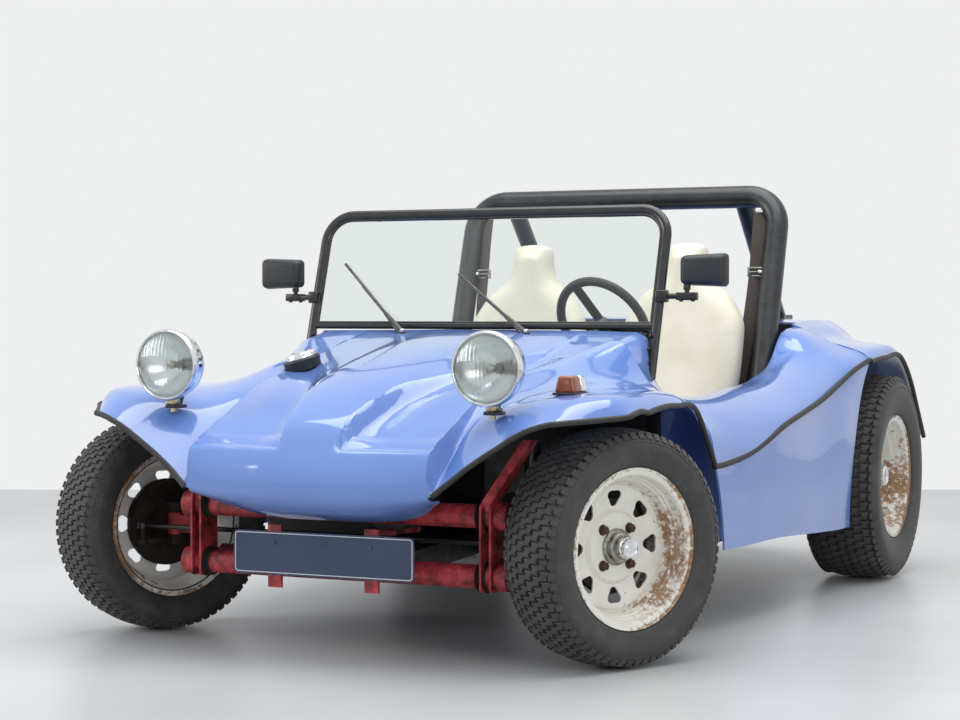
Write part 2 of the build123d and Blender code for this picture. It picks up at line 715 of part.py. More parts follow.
def trailing_arms(side):
    y0 = front_axle_y - beam_setback
    made = None
    for z in (beam_upper_z, beam_lower_z):
        inner = side * (arm_x - arm_thickness / 2)
        outer = side * (arm_x + arm_thickness / 2)
        boss = tube((inner, y0, z), (outer, y0, z), arm_boss_r)
        eye = tube((inner, front_axle_y, z), (outer, front_axle_y, z), arm_end_r)
        web = box(inner, outer, y0, front_axle_y, z - arm_end_r * 0.7, z + arm_end_r * 0.7)
        pin = tube((outer, front_axle_y, z), (side * carrier_x, front_axle_y, z), arm_end_r * 0.5)
        arm = boss + eye + web + pin
        made = arm if made is None else made + arm
    middle = (beam_upper_z + beam_lower_z) / 2
    height = beam_upper_z - beam_lower_z + arm_end_r * 2
    bar = Pos(side * carrier_x, front_axle_y, middle) * Box(carrier_thickness, arm_end_r * 2, height)
    bar = fillet(bar.edges().filter_by(Axis.X), arm_end_r * 0.8)
    neck = box(side * carrier_x, side * kingpin_x, front_axle_y - carrier_boss_r * 0.8,
               front_axle_y + carrier_boss_r * 0.8, middle - carrier_boss_height * 0.4,
               middle + carrier_boss_height * 0.4)
    boss = Pos(side * kingpin_x, front_axle_y, middle) * Cylinder(carrier_boss_r, carrier_boss_height)
    bore = Pos(side * kingpin_x, front_axle_y, middle) * Cylinder(kingpin_r + fit_gap, carrier_boss_height * 2)
    low = (side * (arm_x + arm_thickness / 2), front_axle_y - shock_lower_y, beam_lower_z)
    stud = tube(low, (low[0] + side * shock_lower_r * 2, low[1], low[2]), shock_pin_r)
    return made + bar + (neck + boss - bore) + stud


shock_lower_y = 44 * MM
shock_lower_r = 18 * MM
shock_r = 25 * MM
shock_pin_r = 8 * MM
shock_eye_gap = 2 * MM


def front_shock_top(side):
    """Middle of the front shock's upper eye, behind the tower's arm."""
    z = tower_top_z - shock_r
    rise = (z - tower_arm_foot()) / (tower_top_z - tower_arm_foot())
    x = tower_x + (tower_top_x - tower_x) * rise
    return (side * x, front_axle_y - beam_setback + tower_depth * 0.35 + shock_r, z)


def shock_back_y():
    return front_shock_top(1)[1] + shock_r


def shock(lower, upper, pins):
    """A damper with bored eyes for the pins that hold it: its lower tube, and the wider dust tube above."""
    middle = tuple((a + b) / 2 for a, b in zip(lower, upper))
    seam = tuple(m + (b - a) / math.dist(lower, upper) * fit_gap for m, a, b in zip(middle, lower, upper))
    tubes = [tube(lower, middle, shock_lower_r), tube(seam, upper, shock_r)]
    for start, end in pins:
        tubes = [part - tube(start, end, shock_pin_r + fit_gap) for part in tubes]
    return tubes


def front_shock(side):
    upper = front_shock_top(side)
    lower = (side * (arm_x + arm_thickness / 2 + shock_lower_r + shock_eye_gap), front_axle_y - shock_lower_y,
             beam_lower_z - shock_pin_r)
    stud = (lower[0] - side * overrun, lower[1], beam_lower_z), (lower[0] + side * overrun, lower[1], beam_lower_z)
    pin = (upper[0], upper[1] - overrun, upper[2]), (upper[0], upper[1] + overrun, upper[2])
    top = (upper[0], upper[1], upper[2] + shock_pin_r)
    return shock(lower, top, [stud, pin])


# Knuckle, in a frame with the kingpin on the origin's Z axis and the wheel's outer side along +X
knuckle_eye_height = 28 * MM
knuckle_r = 24 * MM
yoke_x = 34 * MM
spindle_r = 17 * MM
backing_r = 118 * MM
backing_x = 24 * MM
backing_thickness = 4 * MM
drum_r = 128 * MM
drum_wall = 9 * MM
hub_r = 34 * MM
steer_arm_width = 22 * MM
steer_arm_thickness = 14 * MM
ball_r = 14 * MM


def knuckle(side):
    """Left knuckle for side 1, right for side -1, turned to straight ahead, forward along -Y."""
    gap = carrier_boss_height / 2 + 1 * MM
    pin = Cylinder(kingpin_r, 2 * (gap + knuckle_eye_height))
    body = pin
    for up in (-1, 1):
        z = up * (gap + knuckle_eye_height / 2)
        body += Pos(0, 0, z) * Cylinder(knuckle_r, knuckle_eye_height)
        body += box(0, side * yoke_x, -knuckle_r * 0.8, knuckle_r * 0.8, z - knuckle_eye_height / 2,
                    z + knuckle_eye_height / 2)
    height = 2 * (gap + knuckle_eye_height)
    body += Pos(side * yoke_x, 0, 0) * Box(12 * MM, knuckle_r * 1.6, height)
    reach = front_drum_face() + front_wheel_mid - drum_wall - running_gap
    body += tube((side * yoke_x, 0, 0), (side * reach, 0, 0), spindle_r)
    body += tube((side * (yoke_x + 2 * MM), 0, 0), (side * (yoke_x + 2 * MM + backing_thickness), 0, 0), backing_r)
    z = -(gap + knuckle_eye_height / 2)
    arm = box(-steer_arm_width / 2, steer_arm_width / 2, -steer_arm, 0, z - steer_arm_thickness / 2,
              z + steer_arm_thickness / 2)
    arm += Pos(0, -steer_arm, z) * Cylinder(ball_r, steer_arm_thickness)
    stud_top = tie_rod_z - front_axle_z - ball_height / 2 - fit_gap
    arm += Pos(0, -steer_arm, 0) * tube((0, 0, z), (0, 0, stud_top), 6 * MM)
    return body + arm


def at_kingpin(side, shape):
    turn = Pos(side * kingpin_x, front_axle_y, front_axle_z) * Rot(0, 0, steer_rest_deg)
    return turn * shape


# Wheels, in a frame with the axle on X, the wheel's middle at zero and its outer side along +X
def rim_profile(width):
    seat, flange = rim_seat_od / 2, rim_flange_od / 2
    half = width / 2
    return [(half, flange), (half - 2 * rim_wall, flange - rim_wall), (half - 2 * rim_wall, seat),
            (half * 0.55, seat - rim_wall), (half * 0.42, disc_radius + rim_wall),
            (-half * 0.2, disc_radius + rim_wall), (-half * 0.4, seat - rim_wall),
            (-half + 2 * rim_wall, seat), (-half + 2 * rim_wall, flange - rim_wall), (-half, flange)]


def rim(width, dish, cap_length, cap_r):
    points = rim_profile(width)
    inner = [(x, r - rim_wall) for x, r in points]
    section = make_face(Polyline(*(points + inner[::-1]), close=True))
    barrel = revolve(section, Axis.X)
    face_x = width / 2 - dish
    bell = [(face_x, 0), (face_x, nut_circle * 0.62), (face_x - 14 * MM, nut_circle * 0.85),
            (face_x - 4 * MM, disc_radius - 18 * MM), (face_x - 8 * MM, disc_radius + 1 * MM),
            (face_x - 8 * MM - rim_wall, disc_radius + 1 * MM),
            (face_x - 4 * MM - rim_wall, disc_radius - 18 * MM),
            (face_x - 14 * MM - rim_wall, nut_circle * 0.85), (face_x - rim_wall, nut_circle * 0.62),
            (face_x - rim_wall, 0)]
    disc = revolve(make_face(Polyline(*bell, close=True)), Axis.X)
    window = Plane(origin=(face_x - overrun, 0, 0), x_dir=(0, 1, 0), z_dir=(1, 0, 0)) * make_face(
        Polyline((-16 * MM, 141 * MM), (16 * MM, 141 * MM), (10 * MM, 104 * MM), (-10 * MM, 104 * MM), close=True))
    window = extrude(fillet(window.vertices(), 8 * MM), overrun * 2)
    for i in range(window_count):
        disc -= Rot(360 * i / window_count, 0, 0) * window
    whole = barrel + disc
    for i in range(nut_count):
        angle = math.radians(360 * (i + 0.5) / nut_count)
        y, z = nut_circle / 2 * math.sin(angle), nut_circle / 2 * math.cos(angle)
        whole += tube((face_x - rim_wall / 2, y, z), (face_x + 14 * MM, y, z), 10 * MM)
    cap = tube((face_x - rim_wall / 2, 0, 0), (face_x + cap_length, 0, 0), cap_r)
    cap = fillet(cap.edges().filter_by(GeomType.CIRCLE).sort_by(Axis.X)[-1], cap_r / 6)
    return whole + cap


def drum(face_x, back_x, bore_r):
    """The brake drum: a cup open to the inside, with its hub over the spindle."""
    shell = tube((back_x, 0, 0), (face_x, 0, 0), drum_r)
    hollow = tube((back_x - overrun, 0, 0), (face_x - drum_wall, 0, 0), drum_r - drum_wall)
    hub = tube((back_x, 0, 0), (face_x, 0, 0), hub_r)
    return shell - hollow + hub - tube((back_x - overrun, 0, 0), (face_x - drum_wall, 0, 0), bore_r)


def tyre(od, section, width):
    bead = width / 2 - 2 * rim_wall - rim_wall * 0.2
    seat = rim_seat_od / 2 + fit_gap
    lip = rim_flange_od / 2 + 3 * MM
    half, top = section / 2, od / 2
    tread = half * 0.82
    wide_r = (lip + top) / 2
    edges = [Line((-bead, seat), (bead, seat)), Line((bead, seat), (bead, lip)),
             ThreePointArc((bead, lip), (half, wide_r), (tread, top - 9 * MM)),
             ThreePointArc((tread, top - 9 * MM), (0, top), (-tread, top - 9 * MM)),
             ThreePointArc((-tread, top - 9 * MM), (-half, wide_r), (-bead, lip)),
             Line((-bead, lip), (-bead, seat))]
    return revolve(make_face(edges), Axis.X)


front_wheel_mid = front_rim_width / 2 - kingpin_offset
front_cap_length = 58 * MM
front_cap_r = 42 * MM
rear_cap_length = 62 * MM
rear_cap_r = 40 * MM


def front_drum_face():
    """The drum's outer face, from the wheel's middle."""
    return front_rim_width / 2 - front_dish - rim_wall - fit_gap


def front_wheel(side):
    face_x = front_rim_width / 2 - front_dish
    whole = rim(front_rim_width, front_dish, front_cap_length, front_cap_r)
    drum_face = front_drum_face()
    back = yoke_x + 2 * MM + backing_thickness + running_gap - front_wheel_mid
    cup = drum(drum_face, back, spindle_r + fit_gap)
    turned = Rot(0, 0, 0) if side > 0 else Rot(0, 0, 180)
    place = Pos(side * front_wheel_mid, 0, 0)
    rim_solids = at_kingpin(side, place * turned * (whole + join_to_disc(drum_face, face_x) + cup))
    return rim_solids


def join_to_disc(drum_face, face_x):
    """The washer between the drum and the wheel disc."""
    return tube((drum_face - drum_wall / 2, 0, 0), (face_x, 0, 0), hub_r)


def front_tyre(side):
    place = Pos(side * front_wheel_mid, 0, 0)
    return at_kingpin(side, place * tyre(front_tyre_od, front_tyre_width, front_rim_width))


def rear_wheel(side):
    whole = rim(rear_rim_width, rear_dish, rear_cap_length, rear_cap_r)
    face_x = rear_rim_width / 2 - rear_dish
    drum_face = face_x - rim_wall - fit_gap
    cup = drum(drum_face, drum_face - rear_drum_depth, spindle_r + fit_gap)
    turned = Rot(0, 0, 0) if side > 0 else Rot(0, 0, 180)
    mid = rear_wheel_outer_x - rear_rim_width / 2
    return Pos(side * mid, rear_axle_y, rear_axle_z) * turned * (whole + join_to_disc(drum_face, face_x) + cup)


def rear_tyre(side):
    mid = rear_wheel_outer_x - rear_rim_width / 2
    return Pos(side * mid, rear_axle_y, rear_axle_z) * tyre(rear_tyre_od, rear_tyre_width, rear_rim_width)


rear_drum_depth = 70 * MM

# Steering linkage
inner_ball_gap = 26 * MM


def turned_point(x, y):
    """A point given from a pivot, straight ahead, turned to the rest angle."""
    a = math.radians(steer_rest_deg)
    return (x * math.cos(a) - y * math.sin(a), x * math.sin(a) + y * math.cos(a))


def tie_rod(side):
    dx, dy = turned_point(0, -steer_arm)
    outer = (side * kingpin_x + dx, front_axle_y + dy, tie_rod_z)
    inner = (pitman_x + side * inner_ball_gap + dx, front_axle_y + dy, tie_rod_z)
    rod = tube(outer, inner, tie_rod_od / 2)
    for end in (outer, inner):
        rod += Pos(*end) * Cylinder(ball_r, ball_height)
    return rod


def pitman_arm():
    z = tie_rod_z + ball_height / 2 + steer_arm_thickness / 2 + fit_gap
    arm = Pos(0, 0, z) * Cylinder(ball_r * 1.2, steer_arm_thickness)
    arm += box(-steer_arm_width / 2, steer_arm_width / 2, -steer_arm, 0, z - steer_arm_thickness / 2,
               z + steer_arm_thickness / 2)
    turn = Pos(pitman_x, front_axle_y, 0) * Rot(0, 0, steer_rest_deg)
    cross = box(-inner_ball_gap - ball_r, inner_ball_gap + ball_r, -steer_arm_width / 2, steer_arm_width / 2,
                z - steer_arm_thickness / 2, z + steer_arm_thickness / 2)
    dx, dy = turned_point(0, -steer_arm)
    return turn * arm + Pos(pitman_x + dx, front_axle_y + dy, 0) * cross


box_width = 90 * MM
box_height = 90 * MM
box_rear = 60 * MM
steering_wheel_x = 304 * MM
steering_wheel_share = 0.434
steering_wheel_z = 870 * MM
column_r = 19 * MM


def column_ends():
    start = (pitman_x, front_axle_y + box_rear, pitman_box_z() + box_height * 0.1)
    end = (steering_wheel_x, along(steering_wheel_share), steering_wheel_z)
    return start, end


def pitman_box_z():
    return tie_rod_z + ball_height / 2 + steer_arm_thickness + running_gap + box_height / 2


def steering_column():
    z = pitman_box_z()
    y0 = front_axle_y - beam_setback + beam_tube_od / 2 + fit_gap
    housing = box(pitman_x - box_width / 2, pitman_x + box_width / 2, y0, front_axle_y + box_rear,
                  z - box_height / 2, z + box_height / 2)
    housing = fillet(housing.edges().filter_by(Axis.Y), box_width / 5)
    start, end = column_ends()
    run = Vector(*end) - Vector(*start)
    stop = Vector(*end) - run.normalized() * (hub_sink + fit_gap)
    shaft = tube(start, tuple(stop), column_r)
    pitman_top = tie_rod_z + ball_height / 2 + steer_arm_thickness + fit_gap * 2
    sector = tube((pitman_x, front_axle_y, z), (pitman_x, front_axle_y, pitman_top), sector_r)
    return housing + shaft + sector


hub_sink = 40 * MM
hub_length = 44 * MM
sector_r = 13 * MM


def steering_wheel():
    start, end = column_ends()
    run = (Vector(*end) - Vector(*start)).normalized()
    plane = Plane(origin=Vector(*end), z_dir=run)
    r = wheel_diameter / 2
    grip = 14 * MM
    ring = plane * Torus(r - grip, grip)
    hub = plane * Pos(0, 0, hub_length / 2 - hub_sink) * Cylinder(28 * MM, hub_length)
    spokes = hub
    for angle in (90, 210, 330):
        bar = Pos(r / 2, 0, 0) * Box(r - grip, 34 * MM, 4 * MM)
        spokes += plane * (Rot(0, 0, angle) * bar)
    return ring + spokes


# Rear axle, gearbox and engine
torsion_z = 330 * MM
torsion_half = 470 * MM
axle_tube_od = 66 * MM
gearbox_width = 230 * MM
gearbox_height = 230 * MM
gearbox_front = 330 * MM
gearbox_rear = 150 * MM
side_cover_x = 132 * MM
side_cover_r = 62 * MM
rear_shock_low_x = 560 * MM
rear_shock_low_y = 84 * MM
rear_shock_top_x = 500 * MM
rear_shock_top_y = 20 * MM
rear_shock_rise = 330 * MM
horn_x = 190 * MM
horn_od = 60 * MM
engine_length = 300 * MM
engine_width = 300 * MM
engine_height = 230 * MM
cylinder_reach = 370 * MM
cylinder_length = 210 * MM
shroud_width = 700 * MM
shroud_height = 345 * MM
shroud_depth = 130 * MM


def rear_frame():
    y = rear_axle_y - torsion_ahead
    frame = tube((-torsion_half, y, torsion_z), (torsion_half, y, torsion_z), torsion_tube_od / 2)
    for side in (-1, 1):
        frame += pipe([(side * horn_x * 0.66, y, torsion_z), (side * horn_x, rear_axle_y - gearbox_rear, torsion_z),
                       (side * horn_x, rear_axle_y + gearbox_rear, torsion_z)], horn_od, horn_od / 2)
        plate = box(side * torsion_half, side * (torsion_half + 8 * MM), y - 40 * MM, rear_axle_y + 40 * MM,
                    rear_axle_z - 35 * MM, rear_axle_z + 35 * MM)
        frame += plate
        inner = side * (side_cover_x + fit_gap)
        outer = side * (rear_wheel_outer_x - rear_dish - rim_wall - rear_drum_depth - running_gap)
        frame += tube((inner, rear_axle_y, rear_axle_z), (outer, rear_axle_y, rear_axle_z), axle_tube_od / 2)
        backing = tube((outer - side * 6 * MM, rear_axle_y, rear_axle_z), (outer, rear_axle_y, rear_axle_z), backing_r)
        stub = tube((outer, rear_axle_y, rear_axle_z),
                    (side * (rear_wheel_outer_x - rear_dish - drum_wall - 8 * MM), rear_axle_y, rear_axle_z), spindle_r)
        frame += backing + stub
        low, top = rear_shock_ends(side)
        frame += tube((low[0], rear_axle_y, rear_axle_z),
                      (low[0], low[1] - shock_r - shock_eye_gap * 4, low[2]), shock_r)
        head = (top[0], top[1] - shock_r * 2 - shock_eye_gap * 4, top[2])
        elbow = (side * torsion_half, rear_axle_y - torsion_ahead / 3, torsion_z + horn_od)
        frame += pipe([(side * torsion_half * 0.94, y, torsion_z), elbow, head], horn_od, horn_od / 2.4)
        for end in (low, top):
            back = (end[0], end[1] + shock_r + shock_eye_gap, end[2])
            front = (end[0], end[1] - shock_r * 2 - shock_eye_gap * 2, end[2])
            frame += tube(front, back, shock_pin_r)
        pad_end = rear_axle_y + gearbox_rear
        pad = box(side * horn_x, side * (gearbox_width / 2), pad_end - horn_od, pad_end, torsion_z - horn_od / 3,
                  torsion_z + horn_od / 3)
        frame += pad - transaxle(fit_gap)
    nose = box(-horn_od, horn_od, y, rear_axle_y - gearbox_front - fit_gap, torsion_z - horn_od / 2,
               torsion_z + horn_od / 2)
    return frame + nose


def rear_shock_ends(side):
    low = (side * rear_shock_low_x, rear_axle_y + rear_shock_low_y, rear_axle_z)
    top = (side * rear_shock_top_x, rear_axle_y - rear_shock_top_y, rear_axle_z + rear_shock_rise)
    return low, top


# Gearbox stations: place behind the axle in shares of its front or rear length, radius share of its width
gearbox_shares = [(-1.0, 0.29), (-0.45, 0.33), (0.0, 0.50), (1.0, 0.66)]


def transaxle(grown=0.0):
    z = rear_axle_z
    discs = []
    for share, wide in gearbox_shares:
        y = rear_axle_y + share * (gearbox_rear if share > 0 else gearbox_front)
        discs.append(Plane(origin=(0, y, z), z_dir=(0, 1, 0)) * Circle(gearbox_width * wide + grown))
    case = loft(discs, ruled=True)
    return case + tube((-side_cover_x, rear_axle_y, z), (side_cover_x, rear_axle_y, z), side_cover_r + grown)


def engine_block():
    y0 = rear_axle_y + gearbox_rear + fit_gap
    z = rear_axle_z + 30 * MM
    case = box(-engine_width / 2, engine_width / 2, y0, y0 + engine_length, z - engine_height / 2,
               z + engine_height / 2)
    case = fillet(case.edges().filter_by(Axis.Y), engine_height / 6)
    pulley = tube((0, y0 + engine_length, z), (0, y0 + engine_length + 40 * MM, z), 86 * MM)
    return case + pulley


def engine_cylinders():
    """Four finned barrels with their heads, two on each side."""
    z = rear_axle_z + 30 * MM
    y0 = rear_axle_y + gearbox_rear + engine_length * 0.28
    made = []
    fin_pitch = 14 * MM
    for side in (-1, 1):
        bank = None
        for row in (0, 1):
            y = y0 + row * engine_length * 0.42
            x0 = side * (engine_width / 2 + fit_gap)
            x1 = side * cylinder_reach
            barrel = tube((x0, y, z), (x1, y, z), 46 * MM)
            for i in range(8):
                x = x0 + side * (i * fin_pitch + 4 * MM)
                barrel += tube((x, y, z), (x + side * 3 * MM, y, z), 60 * MM)
            bank = barrel if bank is None else bank + barrel
        cover = box(side * (cylinder_reach - 62 * MM), side * cylinder_reach, y0 - 58 * MM,
                    y0 + engine_length * 0.42 + 58 * MM, z - 62 * MM, z + 62 * MM)
        made.append(bank + fillet(cover.edges().filter_by(Axis.X), 20 * MM))
    return made


def fan_shroud():
    y0 = rear_axle_y + gearbox_rear + 30 * MM
    base = rear_axle_z + 30 * MM + engine_height / 2 + fit_gap
    half = shroud_width / 2
    side = Plane(origin=(0, y0, 0), x_dir=(1, 0, 0), z_dir=(0, 1, 0))
    low, high = -base, -base - shroud_height
    edges = [Line((-half, low), (half, low)), Line((half, low), (half, low - shroud_height * 0.3)),
             ThreePointArc((half, low - shroud_height * 0.3), (0, high), (-half, low - shroud_height * 0.3)),
             Line((-half, low - shroud_height * 0.3), (-half, low))]
    shell = extrude(side * make_face(edges), shroud_depth)
    generator_z = base + shroud_height * 0.45
    generator = tube((0, y0 + shroud_depth, generator_z), (0, y0 + shroud_depth + 180 * MM, generator_z), 50 * MM)
    return shell + generator


muffler_r = 62 * MM
muffler_half = 300 * MM
tail_pipe_r = 17 * MM
tail_collar_r = 22 * MM
tail_collar = 8 * MM
tail_pipe_reach = 62 * MM


def exhaust():
    y = length / 2 - tail_pipe_reach - tail_collar - muffler_r
    z = rear_axle_z - 20 * MM
    can = tube((-muffler_half, y, z), (muffler_half, y, z), muffler_r)
    can = fillet(can.edges().filter_by(GeomType.CIRCLE), muffler_r / 4)
    for side in (-1, 1):
        x = side * muffler_half * 0.4
        can += tube((x, y, z - muffler_r * 0.5), (x, y + muffler_r + tail_collar, z - muffler_r * 0.5),
                    tail_collar_r)
        can += tube((x, y, z - muffler_r * 0.5), (x, length / 2, z - muffler_r * 0.5), tail_pipe_r)
        can += pipe([(side * muffler_half * 0.9, y, z),
                     (side * cylinder_reach, y - 60 * MM, z - 40 * MM),
                     (side * cylinder_reach * 0.95, rear_axle_y + gearbox_rear + 120 * MM, z - 50 * MM)],
                    30 * MM, 22 * MM)
        port_y = rear_axle_y + gearbox_rear + 120 * MM + 22 * MM
        head_z = rear_axle_z + 30 * MM - 62 * MM
        can += tube((side * cylinder_reach * 0.95, port_y, z - 50 * MM),
                    (side * cylinder_reach * 0.95, port_y, head_z - fit_gap), 20 * MM)
    return can


def rear_shock(side):
    low, top = rear_shock_ends(side)
    pins = [((x, y - overrun, z), (x, y + overrun, z)) for x, y, z in (low, top)]
    foot = (low[0], low[1], low[2] - shock_lower_r)
    head = (top[0], top[1], top[2] + shock_lower_r)
    return shock(foot, head, pins)


tail_lamp_share = 1.165
tail_lamp_depth = 48 * MM
tail_lamp_r = 42 * MM


def tail_lamp(side, blocks):
    x, y, z = side * half_width * 0.83, along(tail_lamp_share), cowl_height * 0.83
    lamp = tube((x, y, z), (x, y + tail_lamp_depth, z), tail_lamp_r)
    stand = box(x - tail_lamp_r * 0.6, x + tail_lamp_r * 0.6, y, y + tail_lamp_depth * 0.7, z - tail_lamp_r * 3, z)
    return seated(lamp + stand, blocks)


def cockpit_controls():
    top = floor_z + tunnel_height + fit_gap
    base = box(-40 * MM, 50 * MM, along(0.42), along(0.56), top, top + 14 * MM)
    lever = tube((0, along(0.45), top + 12 * MM), (0, along(0.43), top + 260 * MM), 7 * MM)
    lever += Pos(0, along(0.43), top + 260 * MM) * Sphere(22 * MM)
    brake = tube((30 * MM, along(0.55), top + 14 * MM), (30 * MM, along(0.46), top + 110 * MM), 11 * MM)
    made = [base + lever + brake]
    floor = floor_z + pan_wall + fit_gap
    for i in range(3):
        x = steering_wheel_x - 100 * MM + i * 90 * MM
        foot = box(x - 12 * MM, x + 12 * MM, along(0.275), along(0.290), floor, floor + 12 * MM)
        stem = tube((x, along(0.262), floor + 60 * MM), (x, along(0.2825), floor + 8 * MM), 6 * MM)
        pad = box(x - 25 * MM, x + 25 * MM, along(0.256), along(0.262), floor + 40 * MM, floor + 105 * MM)
        made.append(foot + stem + pad)
    return made


def build():
    hood_block = hood_nose(True)
    wing_block = front_fender(True)
    wing = front_fender()
    front_blocks = [hood_block, wing_block, mirrored(wing_block), wing, mirrored(wing)]
    quarter_block = rear_fender(True)
    rear_blocks = [quarter_block, mirrored(quarter_block)]
    node("hood_nose", hood_nose())
    node("fender_front_left", wing)
    node("fender_front_right", mirrored(wing))
    flank = side_panel()
    node("side_panel_left", flank)
    node("side_panel_right", mirrored(flank))
    quarter = rear_fender()
    node("fender_rear_left", quarter)
    node("fender_rear_right", mirrored(quarter))
    node("deck_rear", rear_deck())
    node("floor_tub", floor_tub())
    node("dashboard", dashboard())
    node("windshield_frame", windshield_frame(front_blocks + [flank, mirrored(flank)]))
    node("windshield_glass", windshield_glass())
    node("roll_hoop", roll_hoop())
    node("seat_left", seat(seat_x))
    node("seat_right", seat(-seat_x))
    node("headlamps", headlamp(1, front_blocks), headlamp(-1, front_blocks))
    node("indicators_front", indicator(1, front_blocks), indicator(-1, front_blocks))
    node("fuel_filler", fuel_filler(front_blocks))
    node("mirrors", mirror_on(1), mirror_on(-1))
    node("wipers", *wipers(front_blocks))
    node("number_plate", number_plate())
    node("plate_brackets", *plate_brackets())
    node("front_beam", front_beam())
    for side, name in ((1, "left"), (-1, "right")):
        node("trailing_arms_" + name, trailing_arms(side))
        node("knuckle_" + name, at_kingpin(side, knuckle(side)))
        node("rim_front_" + name, front_wheel(side))
        node("tyre_front_" + name, front_tyre(side))
        node("rim_rear_" + name, rear_wheel(side))
        node("tyre_rear_" + name, rear_tyre(side))
        node("tie_rod_" + name, tie_rod(side))
    node("shocks_front", *front_shock(1), *front_shock(-1))
    node("pitman_arm", pitman_arm())
    node("steering_column", steering_column())
    node("steering_wheel", steering_wheel())
    node("rear_frame", rear_frame())
    node("transaxle", transaxle())
    node("engine_block", engine_block())
    node("engine_cylinders", *engine_cylinders())
    node("fan_shroud", fan_shroud())
    node("exhaust", exhaust())
    node("shocks_rear", *rear_shock(1), *rear_shock(-1))
    node("tail_lamps", tail_lamp(1, rear_blocks), tail_lamp(-1, rear_blocks))
    node("cockpit_controls", *cockpit_controls())


if __name__ == "__main__":
    os.makedirs("parts", exist_ok=True)
    build()
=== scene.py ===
# A beach buggy dressed for its picture: gelcoat body, painted front axle, rusty white wheels with
# blocked tyres, cream seats, a padded hoop and a clear screen. Lengths are in metres, in the part's
# own frame: the front faces -Y, the vehicle's left is +X and the ground is at zero.
import math

import bpy
from mathutils import Matrix, Vector


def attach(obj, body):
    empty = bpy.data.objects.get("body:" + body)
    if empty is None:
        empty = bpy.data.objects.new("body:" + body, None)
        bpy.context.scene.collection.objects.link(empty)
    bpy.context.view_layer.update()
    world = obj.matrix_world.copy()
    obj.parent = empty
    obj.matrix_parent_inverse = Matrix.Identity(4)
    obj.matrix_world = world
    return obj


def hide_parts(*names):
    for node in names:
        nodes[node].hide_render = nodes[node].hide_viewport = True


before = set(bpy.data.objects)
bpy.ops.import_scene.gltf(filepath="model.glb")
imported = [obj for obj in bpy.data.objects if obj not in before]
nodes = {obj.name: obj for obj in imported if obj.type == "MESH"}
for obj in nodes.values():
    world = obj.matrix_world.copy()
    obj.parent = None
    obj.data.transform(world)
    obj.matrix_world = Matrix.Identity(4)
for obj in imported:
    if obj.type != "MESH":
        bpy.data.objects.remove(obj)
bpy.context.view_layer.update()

WHEELBASE = 2.073
FRONT_Y = -1.183346
REAR_Y = 0.889654
FRONT_Z = 0.307
REAR_Z = 0.349
# half the body's width, the heights of cowl and deck that the body's tables are shares of, and its wall
HALF = 0.885
COWL = 0.870
DECK = 0.888
SKIN = 0.006
# the kingpins, the wheels' middles measured from them, and how far the front wheels are turned in the photo
KINGPIN_X = 0.646
WHEEL_OUT = 0.076
REAR_WHEEL_X = 0.789
REST_TURN = math.radians(-25.5)
# the roll hoop: half its width, its tube's top, the foot's place along the body and how far it leans back
HOOP_HALF = 0.564
HOOP_TOP = 1.302
HOOP_FOOT = 0.783
HOOP_FOOT_Z = 0.640
HOOP_LEAN = math.radians(17.4)
# the headlamps' place across the body, and the distance between the two seats
LAMP_X = 0.478
SEAT_STEP = 0.570


def along(share):
    """A place along the body, as a share of the wheelbase behind the front axle."""
    return FRONT_Y + share * WHEELBASE


def step(t):
    """A smooth rise from 0 to 1."""
    t = min(max(t, 0.0), 1.0)
    return t * t * (3 - 2 * t)


# ---------------------------------------------------------------- modelling helpers
def bare():
    """Nothing selected, in object mode."""
    if bpy.context.object and bpy.context.object.mode != "OBJECT":
        bpy.ops.object.mode_set(mode="OBJECT")
    bpy.ops.object.select_all(action="DESELECT")


def only(obj):
    """One piece selected and active."""
    bare()
    obj.select_set(True)
    bpy.context.view_layer.objects.active = obj
    return obj


def edit(obj, where=None):
    """Into edit mode with the chosen faces selected, or everything."""
    only(obj)
    bpy.ops.object.mode_set(mode="EDIT")
    bpy.ops.mesh.select_all(action="SELECT" if where is None else "DESELECT")
    if where is not None:
        bpy.ops.mesh.select_mode(type="FACE")
        bpy.ops.object.mode_set(mode="OBJECT")
        for face in obj.data.polygons:
            face.select = bool(where(face))
        bpy.ops.object.mode_set(mode="EDIT")


def leave():
    """Back to object mode."""
    bpy.ops.object.mode_set(mode="OBJECT")


def settle(obj):
    """Modifiers applied and the place put into the mesh."""
    only(obj)
    for modifier in list(obj.modifiers):
        bpy.ops.object.modifier_apply(modifier=modifier.name)
    bpy.ops.object.transform_apply(location=True, rotation=True, scale=True)
    return obj


def outward(obj):
    """Doubled points merged and every face turned outwards."""
    edit(obj)
    bpy.ops.mesh.remove_doubles(threshold=0.00005)
    bpy.ops.mesh.normals_make_consistent(inside=False)
    leave()
    return obj


def done(obj, name, finish, body="chassis", slot=None, angle=35, replaces=()):
    """Names a piece, gives it its finish and lets it ride on its body."""
    settle(obj)
    obj.name = name
    obj.data.name = name
    if finish is not None:
        obj.data.materials.clear()
        obj.data.materials.append(finish)
    only(obj)
    if angle:
        bpy.ops.object.shade_smooth_by_angle(angle=math.radians(angle))
    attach(obj, body)
    if replaces:
        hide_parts(*replaces)
    return obj


def joined(objs):
    """Several pieces made one, under the first one's name."""
    bare()
    for obj in objs:
        obj.select_set(True)
    bpy.context.view_layer.objects.active = objs[0]
    bpy.ops.object.join()
    return objs[0]


def copy_of(obj, matrix=None):
    """A copy with its place in the mesh; a mirrored one has its faces turned back."""
    twin = obj.copy()
    twin.data = obj.data.copy()
    bpy.context.scene.collection.objects.link(twin)
    if matrix is not None:
        twin.data.transform(matrix)
        if matrix.determinant() < 0:
            twin.data.flip_normals()
    return twin


MIRROR = Matrix.Scale(-1, 4, (1, 0, 0))


